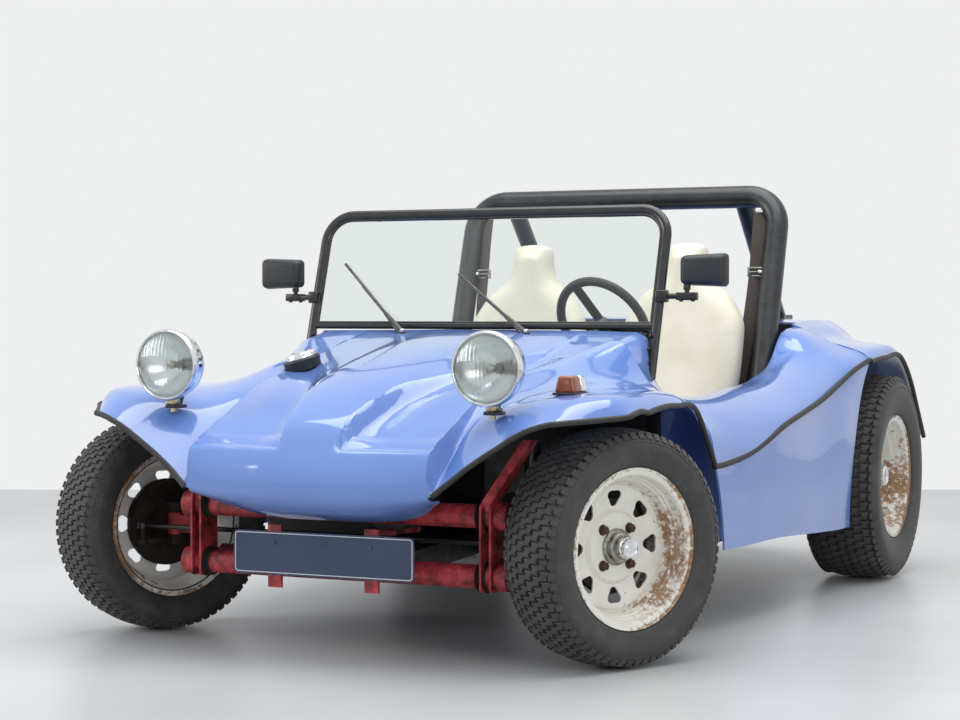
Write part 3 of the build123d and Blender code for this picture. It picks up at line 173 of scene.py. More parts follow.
def aim(start, end):
    """The turn that lays the Z axis from start to end."""
    run = Vector(end) - Vector(start)
    return run.to_track_quat("Z", "Y").to_euler()


def bar(start, end, radius, sides=32, bevel=0.0, top=None):
    """A round bar between two points, with its ends eased."""
    start, end = Vector(start), Vector(end)
    bare()
    bpy.ops.mesh.primitive_cone_add(vertices=sides, radius1=radius, radius2=radius if top is None else top,
                                    depth=(end - start).length, location=(start + end) / 2,
                                    rotation=aim(start, end))
    obj = bpy.context.object
    if bevel:
        modifier = obj.modifiers.new("ends", "BEVEL")
        modifier.width = bevel
        modifier.segments = 3
        modifier.limit_method = "ANGLE"
        modifier.angle_limit = math.radians(50)
    return settle(obj)


def block(x0, x1, y0, y1, z0, z1, bevel=0.004, segments=3, turn=None):
    """A plate or block with its edges eased."""
    bare()
    bpy.ops.mesh.primitive_cube_add(size=1, location=((x0 + x1) / 2, (y0 + y1) / 2, (z0 + z1) / 2))
    obj = bpy.context.object
    obj.scale = (abs(x1 - x0), abs(y1 - y0), abs(z1 - z0))
    if turn is not None:
        obj.rotation_euler = turn
    bpy.ops.object.transform_apply(location=True, rotation=True, scale=True)
    if bevel:
        modifier = obj.modifiers.new("edges", "BEVEL")
        modifier.width = bevel
        modifier.segments = segments
        modifier.limit_method = "ANGLE"
    return settle(obj)


def turned(profile, steps=96, matrix=None):
    """A turned piece: a profile of (place along X, radius) drawn point by point and spun about X."""
    bare()
    bpy.ops.mesh.primitive_plane_add(size=0.001)
    obj = bpy.context.object
    bpy.ops.object.mode_set(mode="EDIT")
    bpy.ops.mesh.select_mode(type="VERT")
    bpy.ops.mesh.select_all(action="SELECT")
    bpy.ops.mesh.merge(type="CENTER")
    x, r = profile[0]
    bpy.ops.transform.translate(value=(x, 0, r))
    for (x0, r0), (x1, r1) in zip(profile, profile[1:]):
        bpy.ops.mesh.extrude_region_move(TRANSFORM_OT_translate={"value": (x1 - x0, 0, r1 - r0)})
    bpy.ops.mesh.select_all(action="SELECT")
    bpy.ops.mesh.spin(steps=steps, angle=math.tau, center=(0, 0, 0), axis=(1, 0, 0))
    bpy.ops.mesh.select_all(action="SELECT")
    bpy.ops.mesh.remove_doubles(threshold=0.00002)
    bpy.ops.mesh.normals_make_consistent(inside=False)
    leave()
    if matrix is not None:
        obj.data.transform(matrix)
    return obj


def wire(points, radius, closed=False, resolution=6, smooth=True):
    """A tube or bead along a line of points."""
    data = bpy.data.curves.new("line", "CURVE")
    data.dimensions = "3D"
    data.bevel_depth = radius
    data.bevel_resolution = resolution
    data.resolution_u = 6
    data.use_fill_caps = True
    spline = data.splines.new("NURBS" if smooth else "POLY")
    spline.points.add(len(points) - 1)
    for knot, place in zip(spline.points, points):
        knot.co = (*place, 1)
    if smooth:
        spline.order_u = 3
        spline.use_endpoint_u = not closed
    spline.use_cyclic_u = closed
    obj = bpy.data.objects.new("line", data)
    bpy.context.scene.collection.objects.link(obj)
    only(obj)
    bpy.ops.object.convert(target="MESH")
    return bpy.context.object


def eased_line(knots, points, t):
    """The smooth line through points at the given knots, read at t."""
    last = len(points) - 1
    i = 0
    while i < last - 1 and t > knots[i + 1]:
        i += 1

    def slope(k):
        if k == 0:
            return (points[1] - points[0]) / (knots[1] - knots[0])
        if k == last:
            return (points[last] - points[last - 1]) / (knots[last] - knots[last - 1])
        d0, d1 = knots[k] - knots[k - 1], knots[k + 1] - knots[k]
        return ((points[k] - points[k - 1]) / d0 * d1 + (points[k + 1] - points[k]) / d1 * d0) / (d0 + d1)

    d = knots[i + 1] - knots[i]
    f = (t - knots[i]) / d
    a, b = points[i], points[i + 1]
    return (a * (2 * f ** 3 - 3 * f * f + 1) + slope(i) * d * (f ** 3 - 2 * f * f + f)
            + b * (3 * f * f - 2 * f ** 3) + slope(i + 1) * d * (f ** 3 - f * f))


def refined(points, count):
    """The smooth line through points, each stretch in the given number of steps."""
    knots = [0.0]
    for a, b in zip(points, points[1:]):
        knots.append(knots[-1] + max((b - a).length, 1e-5))
    found = []
    for k0, k1 in zip(knots, knots[1:]):
        found += [eased_line(knots, points, k0 + (k1 - k0) * i / count) for i in range(count)]
    return found + [points[-1]]


def sheeted(rows):
    """A grid whose vertices lie at the given rows of points."""
    bare()
    m, n = len(rows), len(rows[0])
    bpy.ops.mesh.primitive_grid_add(x_subdivisions=n - 1, y_subdivisions=m - 1, size=1)
    obj = bpy.context.object
    flat = [place for row in rows for place in row]
    for vertex, place in zip(obj.data.vertices, flat):
        vertex.co = place
    return obj


def skinned(rows, wall=SKIN, up=True):
    """A moulded skin: a grid with a wall under it."""
    obj = sheeted(rows)
    only(obj)
    total = sum((face.normal * face.area for face in obj.data.polygons), Vector())
    if up is True:
        turn = total.z < 0
    else:
        turn = total.dot(Vector(up)) < 0
    if turn:
        obj.data.flip_normals()
    modifier = obj.modifiers.new("wall", "SOLIDIFY")
    modifier.thickness = wall
    modifier.offset = -1
    return obj


# ---------------------------------------------------------------- finishes
def hue(code):
    """An sRGB hex colour as a linear one."""
    parts = [int(code[i:i + 2], 16) / 255 for i in (1, 3, 5)]
    return tuple(c / 12.92 if c <= 0.04045 else ((c + 0.055) / 1.055) ** 2.4 for c in parts) + (1.0,)


def add(tree, kind, settings=None, links=None):
    """One shader node with its settings and what feeds it; "stops" are a ramp's places with their colours
    or values."""
    made = tree.nodes.new(kind)
    for key, value in (settings or {}).items():
        if key == "stops":
            while len(made.color_ramp.elements) < len(value):
                made.color_ramp.elements.new(0.5)
            for element, (at, colour) in zip(made.color_ramp.elements, value):
                element.position = at
                element.color = hue(colour) if isinstance(colour, str) else (colour, colour, colour, 1)
        elif isinstance(key, str) and hasattr(made, key):
            setattr(made, key, value)
        else:
            made.inputs[key].default_value = value
    for key, source in (links or {}).items():
        tree.links.new(source, made.inputs[key])
    return made


def finish_named(name, **values):
    """A new material with its shader's plain values."""
    made = bpy.data.materials.new(name)
    made.use_nodes = True
    tree = made.node_tree
    shader = tree.nodes["Principled BSDF"]
    for key, value in values.items():
        shader.inputs[key.replace("_", " ")].default_value = value
    place = add(tree, "ShaderNodeTexCoord").outputs["Object"]
    return made, tree, shader, place


def mottled(name, colours, scale, rough, bump=0.0, bump_scale=400.0, detail=6.0, **values):
    """A surface whose colour and gloss wander a little, with fine relief."""
    made, tree, shader, place = finish_named(name, **values)
    cloud = add(tree, "ShaderNodeTexNoise", {"Scale": scale, "Detail": detail, "Roughness": 0.6},
                {"Vector": place}).outputs["Fac"]
    count = len(colours)
    stops = [(0.3 + 0.4 * i / (count - 1), c) for i, c in enumerate(colours)]
    tree.links.new(add(tree, "ShaderNodeValToRGB", {"stops": stops}, {"Fac": cloud}).outputs["Color"],
                   shader.inputs["Base Color"])
    gloss = add(tree, "ShaderNodeValToRGB", {"stops": [(0.3, rough[0]), (0.7, rough[1])]},
                {"Fac": cloud}).outputs["Color"]
    tree.links.new(gloss, shader.inputs["Roughness"])
    if bump:
        grain = add(tree, "ShaderNodeTexNoise", {"Scale": bump_scale, "Detail": 3.0}, {"Vector": place})
        relief = add(tree, "ShaderNodeBump", {"Strength": 0.6, "Distance": bump},
                     {"Height": grain.outputs["Fac"]})
        tree.links.new(relief.outputs["Normal"], shader.inputs["Normal"])
    return made


def gelcoat_blue():
    """Moulded polyester gelcoat, periwinkle: a wet clear gloss over a colour that wanders very little,
    with the long soft waves and fine orange peel of a hand-laid skin."""
    made, tree, shader, place = finish_named("gelcoat_periwinkle", IOR=1.5, Coat_Weight=0.7,
                                             Coat_Roughness=0.02, Coat_IOR=1.5)
    cloud = add(tree, "ShaderNodeTexNoise", {"Scale": 3.0, "Detail": 4.0}, {"Vector": place}).outputs["Fac"]
    tree.links.new(add(tree, "ShaderNodeValToRGB", {"stops": [(0.3, "#6384c8"), (0.7, "#6b8ccf")]},
                       {"Fac": cloud}).outputs["Color"], shader.inputs["Base Color"])
    dust = add(tree, "ShaderNodeTexNoise", {"Scale": 14.0, "Detail": 8.0}, {"Vector": place}).outputs["Fac"]
    tree.links.new(add(tree, "ShaderNodeValToRGB", {"stops": [(0.35, 0.10), (0.75, 0.20)]},
                       {"Fac": dust}).outputs["Color"], shader.inputs["Roughness"])
    wave = add(tree, "ShaderNodeTexNoise", {"Scale": 9.0, "Detail": 1.0}, {"Vector": place}).outputs["Fac"]
    peel = add(tree, "ShaderNodeTexNoise", {"Scale": 420.0, "Detail": 2.0}, {"Vector": place}).outputs["Fac"]
    soft = add(tree, "ShaderNodeBump", {"Strength": 0.15, "Distance": 0.002},
               {"Height": wave}).outputs["Normal"]
    fine = add(tree, "ShaderNodeBump", {"Strength": 0.05, "Distance": 0.0004},
               {"Height": peel, "Normal": soft}).outputs["Normal"]
    tree.links.new(fine, shader.inputs["Normal"])
    tree.links.new(soft, shader.inputs["Coat Normal"])
    return made


def rusted_white():
    """White enamel on pressed steel: chalky, stained brown along the flange and in the barrel's well."""
    made, tree, shader, place = finish_named("enamel_white_rusted", IOR=1.5, Coat_Weight=0.15,
                                             Coat_Roughness=0.3)
    big = add(tree, "ShaderNodeTexNoise", {"Scale": 9.0, "Detail": 9.0, "Roughness": 0.68}, {"Vector": place})
    fine = add(tree, "ShaderNodeTexNoise", {"Scale": 70.0, "Detail": 8.0, "Roughness": 0.7},
               {"Vector": place})
    both = add(tree, "ShaderNodeMath", {"operation": "MULTIPLY"},
               {0: big.outputs["Fac"], 1: fine.outputs["Fac"]}).outputs["Value"]
    wear = add(tree, "ShaderNodeAttribute", {"attribute_name": "wear"}).outputs["Fac"]
    worn = add(tree, "ShaderNodeMath", {"operation": "MULTIPLY_ADD", 1: 0.22},
               {0: wear, 2: both}).outputs["Value"]
    mask = add(tree, "ShaderNodeValToRGB", {"stops": [(0.36, 0.0), (0.44, 1.0)]},
               {"Fac": worn}).outputs["Color"]
    rust = add(tree, "ShaderNodeValToRGB", {"stops": [(0.3, "#5a3a26"), (0.5, "#8a6342"),
                                                      (0.7, "#b39a7c")]},
               {"Fac": fine.outputs["Fac"]}).outputs["Color"]
    paint = add(tree, "ShaderNodeValToRGB", {"stops": [(0.3, "#d9d6cd"), (0.7, "#eceae4")]},
                {"Fac": big.outputs["Fac"]}).outputs["Color"]
    colour = add(tree, "ShaderNodeMix", {"data_type": "RGBA"})
    tree.links.new(mask, colour.inputs[0])
    tree.links.new(paint, colour.inputs[6])
    tree.links.new(rust, colour.inputs[7])
    tree.links.new(colour.outputs[2], shader.inputs["Base Color"])
    tree.links.new(add(tree, "ShaderNodeValToRGB", {"stops": [(0.0, 0.38), (1.0, 0.85)]},
                       {"Fac": mask}).outputs["Color"], shader.inputs["Roughness"])
    relief = add(tree, "ShaderNodeBump", {"Strength": 0.5, "Distance": 0.0006},
                 {"Height": both}).outputs["Normal"]
    tree.links.new(relief, shader.inputs["Normal"])
    return made


def red_oxide():
    """Brushed red chassis enamel over old steel: dull red, knocked off to brown-black on the edges."""
    made, tree, shader, place = finish_named("chassis_enamel_red", IOR=1.5)
    big = add(tree, "ShaderNodeTexNoise", {"Scale": 26.0, "Detail": 9.0, "Roughness": 0.7}, {"Vector": place})
    fine = add(tree, "ShaderNodeTexNoise", {"Scale": 160.0, "Detail": 6.0}, {"Vector": place})
    colour = add(tree, "ShaderNodeValToRGB", {"stops": [(0.30, "#2a1512"), (0.42, "#6d1f1f"),
                                                        (0.55, "#a63238"), (0.70, "#c04a4e")]},
                 {"Fac": big.outputs["Fac"]}).outputs["Color"]
    tree.links.new(colour, shader.inputs["Base Color"])
    tree.links.new(add(tree, "ShaderNodeValToRGB", {"stops": [(0.3, 0.35), (0.7, 0.75)]},
                       {"Fac": fine.outputs["Fac"]}).outputs["Color"], shader.inputs["Roughness"])
    relief = add(tree, "ShaderNodeBump", {"Strength": 0.7, "Distance": 0.0012},
                 {"Height": big.outputs["Fac"]})
    tree.links.new(relief.outputs["Normal"], shader.inputs["Normal"])
    return made


def tyre_rubber():
    """Vulcanised black rubber, aged grey, with a dusty matt bloom and moulding lines."""
    made, tree, shader, place = finish_named("tyre_rubber_aged", IOR=1.5, Sheen_Weight=0.08)
    cloud = add(tree, "ShaderNodeTexNoise", {"Scale": 18.0, "Detail": 8.0, "Roughness": 0.65},
                {"Vector": place})
    tree.links.new(add(tree, "ShaderNodeValToRGB", {"stops": [(0.3, "#282827"), (0.55, "#3b3b39"),
                                                              (0.75, "#504f4b")]},
                       {"Fac": cloud.outputs["Fac"]}).outputs["Color"], shader.inputs["Base Color"])
    tree.links.new(add(tree, "ShaderNodeValToRGB", {"stops": [(0.3, 0.55), (0.7, 0.8)]},
                       {"Fac": cloud.outputs["Fac"]}).outputs["Color"], shader.inputs["Roughness"])
    grain = add(tree, "ShaderNodeTexNoise", {"Scale": 500.0, "Detail": 4.0}, {"Vector": place})
    relief = add(tree, "ShaderNodeBump", {"Strength": 0.3, "Distance": 0.0005},
                 {"Height": grain.outputs["Fac"]})
    tree.links.new(relief.outputs["Normal"], shader.inputs["Normal"])
    return made


def seat_vinyl():
    """Moulded integral-skin vinyl, ivory: a fine leather grain and a soft even sheen."""
    made, tree, shader, place = finish_named("vinyl_ivory", IOR=1.46, Sheen_Weight=0.15)
    cloud = add(tree, "ShaderNodeTexNoise", {"Scale": 7.0, "Detail": 6.0}, {"Vector": place}).outputs["Fac"]
    tree.links.new(add(tree, "ShaderNodeValToRGB", {"stops": [(0.3, "#d8d2bf"), (0.7, "#e6e1d1")]},
                       {"Fac": cloud}).outputs["Color"], shader.inputs["Base Color"])
    tree.links.new(add(tree, "ShaderNodeValToRGB", {"stops": [(0.3, 0.42), (0.7, 0.55)]},
                       {"Fac": cloud}).outputs["Color"], shader.inputs["Roughness"])
    grain = add(tree, "ShaderNodeTexVoronoi", {"Scale": 330.0, "feature": "DISTANCE_TO_EDGE"},
                {"Vector": place})
    relief = add(tree, "ShaderNodeBump", {"Strength": 0.35, "Distance": 0.0006},
                 {"Height": grain.outputs["Distance"]})
    tree.links.new(relief.outputs["Normal"], shader.inputs["Normal"])
    return made


def clear_glass(name, tint, rough=0.0, ior=1.45):
    """Flat glass with a faint haze."""
    made, tree, shader, place = finish_named(name, IOR=ior, Transmission_Weight=1.0, Base_Color=hue(tint))
    haze = add(tree, "ShaderNodeTexNoise", {"Scale": 30.0, "Detail": 5.0}, {"Vector": place}).outputs["Fac"]
    tree.links.new(add(tree, "ShaderNodeValToRGB", {"stops": [(0.3, rough), (0.8, rough + 0.02)]},
                       {"Fac": haze}).outputs["Color"], shader.inputs["Roughness"])
    return made


def fluted_lens():
    """Pressed headlamp glass: clear, with upright flutes that break up what is behind it."""
    made, tree, shader, place = finish_named("lamp_glass_fluted", IOR=1.5, Transmission_Weight=1.0,
                                             Base_Color=hue("#f4f8f8"), Roughness=0.03)
    flutes = add(tree, "ShaderNodeTexWave", {"wave_type": "BANDS", "bands_direction": "X", "Scale": 28.0,
                                             "Distortion": 0.4}, {"Vector": place}).outputs["Fac"]
    relief = add(tree, "ShaderNodeBump", {"Strength": 0.35, "Distance": 0.0012}, {"Height": flutes})
    tree.links.new(relief.outputs["Normal"], shader.inputs["Normal"])
    return made


gelcoat = gelcoat_blue()
# blacked floor pan: thick brushed chassis black, satin
pan_black = mottled("chassis_black_brushed", ["#0d0d0d", "#181716", "#24211e"], 22.0, (0.4, 0.7), 0.0008,
                    120.0)
# powder-coated screen frame: black satin that catches pale lines along its edges
frame_black = mottled("powder_coat_black", ["#141516", "#1a1b1c", "#202122"], 30.0, (0.20, 0.28), 0.00004,
                      500.0, IOR=1.5, Coat_Weight=0.3, Coat_Roughness=0.12)
# padded sleeve of the hoop: black foam-backed vinyl, satin, with a fine grain
hoop_vinyl = mottled("vinyl_sleeve_black", ["#17191b", "#202326", "#2a2d31"], 24.0, (0.28, 0.42), 0.0006,
                     260.0, IOR=1.5, Coat_Weight=0.15, Coat_Roughness=0.2)
# bright chrome on brass: mirror finish with faint pitting
chrome = mottled("chrome_plate", ["#d5d8da", "#eef0f1"], 50.0, (0.05, 0.14), 0.0001, 300.0, Metallic=1.0)
# cast or pressed bright metal gone dull
dull_metal = mottled("zinc_plate_dull", ["#6f6b62", "#a8a59c", "#c9c7c0"], 70.0, (0.3, 0.5), 0.0006, 200.0,
                     Metallic=1.0)
# black moulded ABS: even satin with a fine spark texture
abs_black = mottled("abs_black_textured", ["#1c1f22", "#262a2e"], 90.0, (0.38, 0.5), 0.0004, 600.0, IOR=1.5)
# extruded black rubber trim, slightly grey with age
trim_rubber = mottled("rubber_trim_black", ["#161616", "#222222", "#2c2c2b"], 60.0, (0.45, 0.65), 0.0004,
                      350.0)
# machined aluminium of the hub caps: grey, finely turned, with grime
alloy = mottled("aluminium_machined", ["#6e6a63", "#9b978f", "#bdbab3"], 60.0, (0.25, 0.5), 0.0006, 240.0,
                Metallic=1.0)
# sand-cast aluminium of the gearbox and engine: pale, rough, oil-stained
cast_alloy = mottled("aluminium_sand_cast", ["#3b3935", "#6d6a64", "#8f8c86"], 18.0, (0.5, 0.75), 0.002,
                     150.0, Metallic=0.8)
# grey cast iron of drums and barrels, brown with surface rust
cast_iron = mottled("cast_iron_brown", ["#1c1815", "#2e2621", "#4a3728"], 30.0, (0.6, 0.85), 0.0015, 160.0,
                    Metallic=0.5)
# mild steel silencer: heat-blacked with rust bloom
hot_steel = mottled("steel_heat_blacked", ["#1a1816", "#3b2c22", "#5d4330"], 20.0, (0.5, 0.8), 0.001, 200.0,
                    Metallic=0.6)
# stove-enamelled black sheet of the cooling shroud: semi-gloss
sheet_black = mottled("stove_enamel_black", ["#0e0e0f", "#161617"], 40.0, (0.25, 0.4), 0.0002, 300.0,
                      Coat_Weight=0.2)
# nylon webbing dyed brown
webbing = mottled("webbing_nylon_brown", ["#2d2521", "#3b312b", "#463a33"], 300.0, (0.6, 0.8), 0.0006,
                  900.0, Sheen_Weight=0.3)
# printed plate: dark blue enamel on aluminium, under a clear coat
plate_blue = mottled("plate_enamel_navy", ["#23324f", "#2a3a5a"], 12.0, (0.25, 0.4), 0.0001, 200.0,
                     Coat_Weight=0.3)
# pale line printed inside the plate's edge
plate_white = mottled("plate_edge_white", ["#d6d9dd", "#e6e8ea"], 40.0, (0.3, 0.45))
# dash panel: black crackle vinyl
dash_black = mottled("dash_vinyl_black", ["#141414", "#1f1f1f"], 50.0, (0.5, 0.7), 0.001, 300.0)
# black rubber of the ribbed dust boots
boot_rubber = mottled("boot_rubber_black", ["#141312", "#221f1d"], 60.0, (0.5, 0.75), 0.0008, 200.0)
# the finishes made above: wheel enamel, chassis enamel, tyre rubber and seat vinyl
wheel_white = rusted_white()
axle_red = red_oxide()
rubber = tyre_rubber()
ivory = seat_vinyl()
# toughened flat glass, faintly green
screen_glass = clear_glass("glass_toughened", "#f1f7f4")
# amber polycarbonate lens
amber = mottled("lens_amber", ["#8f3d0c", "#a85216"], 60.0, (0.12, 0.2), 0.0003, 300.0, IOR=1.55,
                Transmission_Weight=0.35, Coat_Weight=0.4)
# red polycarbonate lens
red_lens = mottled("lens_red", ["#8a1016", "#a3161c"], 60.0, (0.12, 0.2), 0.0003, 300.0, IOR=1.55,
                   Transmission_Weight=0.3, Coat_Weight=0.4)
# pressed lamp glass
lens = fluted_lens()
# vacuum-silvered brass of the reflectors and mirrors
reflector = mottled("reflector_silvered", ["#e6e9eb", "#f7f8f8"], 20.0, (0.16, 0.26), Metallic=0.8)
# brass nuts of the lamps under flaked chrome
brass_nut = mottled("brass_chrome_flaked", ["#8d7a4c", "#b9ad86", "#cfcabb"], 120.0, (0.2, 0.4), 0.0004,
                    500.0, Metallic=1.0)
# wheel nuts: brown oxide over steel
nut_brown = mottled("steel_nut_rusted", ["#2e2018", "#4a3426", "#6b5442"], 160.0, (0.5, 0.8), 0.0006, 500.0,
                    Metallic=0.4)


# every CAD piece that stays in view takes a worked finish on its own slots
PLAIN_FINISHES = [
    (pan_black, "floor_tub rear_frame"),
    (dash_black, "dashboard"),
    (frame_black, "windshield_frame"),
    (screen_glass, "windshield_glass"),
    (hoop_vinyl, "roll_hoop"),
    (ivory, "seat_left seat_right"),
    (chrome, "headlamps fuel_filler"),
    (amber, "indicators_front"),
    (abs_black, "mirrors wipers cockpit_controls steering_wheel"),
    (plate_blue, "number_plate"),
    (axle_red, "plate_brackets front_beam trailing_arms_left trailing_arms_right pitman_arm"),
    (sheet_black, "shocks_front steering_column fan_shroud shocks_rear tie_rod_left tie_rod_right"),
    (cast_alloy, "transaxle engine_block"),
    (cast_iron, "engine_cylinders knuckle_left knuckle_right"),
    (hot_steel, "exhaust"),
    (red_lens, "tail_lamps"),
    (gelcoat, "hood_nose fender_front_left fender_front_right side_panel_left side_panel_right"),
    (gelcoat, "fender_rear_left fender_rear_right deck_rear"),
    (wheel_white, "rim_front_left rim_front_right rim_rear_left rim_rear_right"),
    (rubber, "tyre_front_left tyre_front_right tyre_rear_left tyre_rear_right"),
]
for finish, names in PLAIN_FINISHES:
    for name in names.split():
        for place in nodes[name].material_slots:
            place.material = finish


# ---------------------------------------------------------------- camera, floor and light
def stage_and_camera():
    """The photo's camera, a pale floor, a pale world as the backdrop and three softboxes."""
    camera = bpy.data.objects.new("camera", bpy.data.cameras.new("camera"))
    bpy.context.scene.collection.objects.link(camera)
    camera.location = (2.7769, -6.3096, 0.9104)
    camera.rotation_euler = (math.radians(88.712), 0, math.radians(25.63))
    camera.data.sensor_width = 36.0
    camera.data.lens = 2136.2 / 960 * 36.0
    camera.data.clip_end = 100
    bpy.context.scene.camera = camera

    bare()
    # the floor ends where the pale world takes over as the backdrop, so that no view is blocked
    bpy.ops.mesh.primitive_grid_add(x_subdivisions=40, y_subdivisions=40, size=30, location=(5.36, -9.59, 0),
                                    rotation=(0, 0, math.radians(25.63)))
    floor = bpy.context.object
    floor.name = "floor"
    made, tree, shader, place = finish_named("floor_pale_grey", IOR=1.45)
    cloud = add(tree, "ShaderNodeTexNoise", {"Scale": 1.2, "Detail": 3.0}, {"Vector": place}).outputs["Fac"]
    tree.links.new(add(tree, "ShaderNodeValToRGB", {"stops": [(0.3, "#b9bbbc"), (0.7, "#c4c5c6")]},
                       {"Fac": cloud}).outputs["Color"], shader.inputs["Base Color"])
    shader.inputs["Roughness"].default_value = 0.35
    floor.data.materials.append(made)

    def lamp(name, size, power, place, target, tall=None):
        data = bpy.data.lights.new(name, "AREA")
        data.shape = "RECTANGLE"
        data.size = size
        data.size_y = tall or size
        data.energy = power
        obj = bpy.data.objects.new(name, data)
        bpy.context.scene.collection.objects.link(obj)
        obj.location = place
        obj.rotation_euler = (Vector(target) - Vector(place)).to_track_quat("-Z", "Y").to_euler()

    lamp("softbox_above", 5.0, 250, (0.5, -0.5, 5.0), (0, 0, 0), 5.0)
    lamp("softbox_front_left", 3.0, 62, (5.0, -5.0, 2.6), (0, -0.5, 0.4), 2.2)
    lamp("softbox_front_right", 3.0, 125, (-5.5, -4.0, 2.6), (0, -0.5, 0.4), 2.2)
    world = bpy.data.worlds.new("studio")
    bpy.context.scene.world = world
    world.use_nodes = True
    tree = world.node_tree
    light = tree.nodes["Background"]
    light.inputs["Color"].default_value = hue("#f2f4f6")
    light.inputs["Strength"].default_value = 0.75
    pale = add(tree, "ShaderNodeBackground", {"Color": hue("#eeeff0"), "Strength": 1.0})
    path = add(tree, "ShaderNodeLightPath")
    seen = add(tree, "ShaderNodeMath", {"operation": "MAXIMUM"},
               {0: path.outputs["Is Camera Ray"], 1: path.outputs["Is Glossy Ray"]})
    seen = add(tree, "ShaderNodeMath", {"operation": "MAXIMUM"},
               {0: seen.outputs["Value"], 1: path.outputs["Is Transmission Ray"]})
    mix = add(tree, "ShaderNodeMixShader", links={0: seen.outputs["Value"], 1: light.outputs["Background"],
                                                  2: pale.outputs["Background"]})
    tree.links.new(mix.outputs["Shader"], tree.nodes["World Output"].inputs["Surface"])
    bpy.context.scene.view_settings.view_transform = "Standard"


stage_and_camera()


# ---------------------------------------------------------------- the moulded body
HOOD_LINES = [
    (0.00, [(-0.130, 0.420), (-0.172, 0.452), (-0.195, 0.500), (-0.196, 0.570), (-0.181, 0.640),
            (-0.166, 0.695), (-0.142, 0.742), (0.0965, 0.920), (0.305, 0.986)]),
    (0.13, [(-0.128, 0.420), (-0.170, 0.452), (-0.194, 0.500), (-0.195, 0.570), (-0.180, 0.640),
            (-0.164, 0.692), (-0.140, 0.736), (0.0965, 0.913), (0.305, 0.986)]),
    (0.19, [(-0.126, 0.422), (-0.168, 0.454), (-0.192, 0.500), (-0.192, 0.570), (-0.176, 0.640),
            (-0.158, 0.688), (-0.115, 0.748), (0.0965, 0.900), (0.305, 0.985)]),
    (0.30, [(-0.126, 0.440), (-0.162, 0.464), (-0.187, 0.500), (-0.189, 0.565), (-0.178, 0.630),
            (-0.156, 0.690), (-0.100, 0.762), (0.0965, 0.890), (0.305, 0.984)]),
    (0.40, [(-0.150, 0.492), (-0.170, 0.494), (-0.181, 0.505), (-0.187, 0.560), (-0.183, 0.620),
            (-0.160, 0.692), (-0.091, 0.762), (0.1000, 0.880), (0.305, 0.983)]),
]
FENDER_SECTIONS = [
    (-0.170, [(0.413, 0.515), (0.440, 0.538), (0.470, 0.563), (0.520, 0.602), (0.600, 0.655), (0.680, 0.703),
              (0.730, 0.722), (0.750, 0.727), (0.770, 0.730)]),
    (-0.110, [(0.413, 0.640), (0.440, 0.685), (0.470, 0.715), (0.540, 0.742), (0.640, 0.775), (0.740, 0.789),
              (0.800, 0.790), (0.850, 0.783), (0.896, 0.742)]),
    (-0.040, [(0.413, 0.782), (0.440, 0.784), (0.480, 0.786), (0.540, 0.791), (0.640, 0.802), (0.760, 0.812),
              (0.830, 0.812), (0.875, 0.803), (0.908, 0.755)]),
    (0.090, [(0.413, 0.872), (0.450, 0.880), (0.486, 0.880), (0.530, 0.862), (0.600, 0.828), (0.700, 0.812),
             (0.800, 0.812), (0.876, 0.803), (0.910, 0.764)]),
    (0.170, [(0.413, 0.912), (0.460, 0.914), (0.505, 0.910), (0.560, 0.885), (0.630, 0.835), (0.700, 0.805),
             (0.790, 0.795), (0.872, 0.775), (0.908, 0.733)]),
    (0.205, [(0.413, 0.930), (0.485, 0.932), (0.545, 0.930), (0.595, 0.900), (0.645, 0.845), (0.710, 0.800),
             (0.790, 0.776), (0.870, 0.738), (0.908, 0.650)]),
    (0.245, [(0.413, 0.948), (0.510, 0.950), (0.588, 0.946), (0.615, 0.920), (0.645, 0.870), (0.700, 0.800),
             (0.790, 0.752), (0.868, 0.692), (0.906, 0.548)]),
]
COWL_SECTIONS = [
    (0.2450, [(0.413, 0.948), (0.510, 0.950), (0.560, 0.949), (0.588, 0.946), (0.615, 0.920), (0.630, 0.896),
              (0.645, 0.870), (0.690, 0.812)]),
    (0.3050, [(0.413, 0.983), (0.480, 0.982), (0.540, 0.980), (0.592, 0.976), (0.618, 0.958), (0.634, 0.900),
              (0.645, 0.830), (0.690, 0.765)]),
]
SIDE_SECTIONS = [
    (0.2450, [(0.690, 0.755), (0.693, 0.794), (0.730, 0.782), (0.790, 0.748),
              (0.870, 0.690), (0.906, 0.560), (0.904, 0.420), (0.890, 0.2765)]),
    (0.3300, [(0.690, 0.713), (0.693, 0.752), (0.740, 0.766), (0.840, 0.725),
              (0.922, 0.600), (0.924, 0.530), (0.918, 0.400), (0.902, 0.2700)]),
    (0.4850, [(0.690, 0.727), (0.693, 0.766), (0.750, 0.780), (0.860, 0.740),
              (0.948, 0.658), (0.950, 0.600), (0.946, 0.420), (0.930, 0.2700)]),
    (0.6600, [(0.690, 0.761), (0.693, 0.800), (0.750, 0.815), (0.870, 0.800),
              (0.958, 0.734), (0.962, 0.680), (0.962, 0.420), (0.945, 0.2500)]),
    (0.7700, [(0.690, 0.845), (0.693, 0.884), (0.740, 0.898), (0.880, 0.865),
              (0.966, 0.800), (0.978, 0.750), (0.978, 0.450), (0.958, 0.2400)]),
    (0.8000, [(0.690, 0.910), (0.693, 0.949), (0.730, 0.955), (0.870, 0.890),
              (0.975, 0.826), (0.982, 0.770), (0.982, 0.450), (0.962, 0.2400)]),
    (0.8780, [(0.690, 0.951), (0.693, 0.990), (0.720, 0.986), (0.860, 0.925),
              (0.990, 0.860), (0.994, 0.800), (0.994, 0.450), (0.980, 0.2400)]),
]
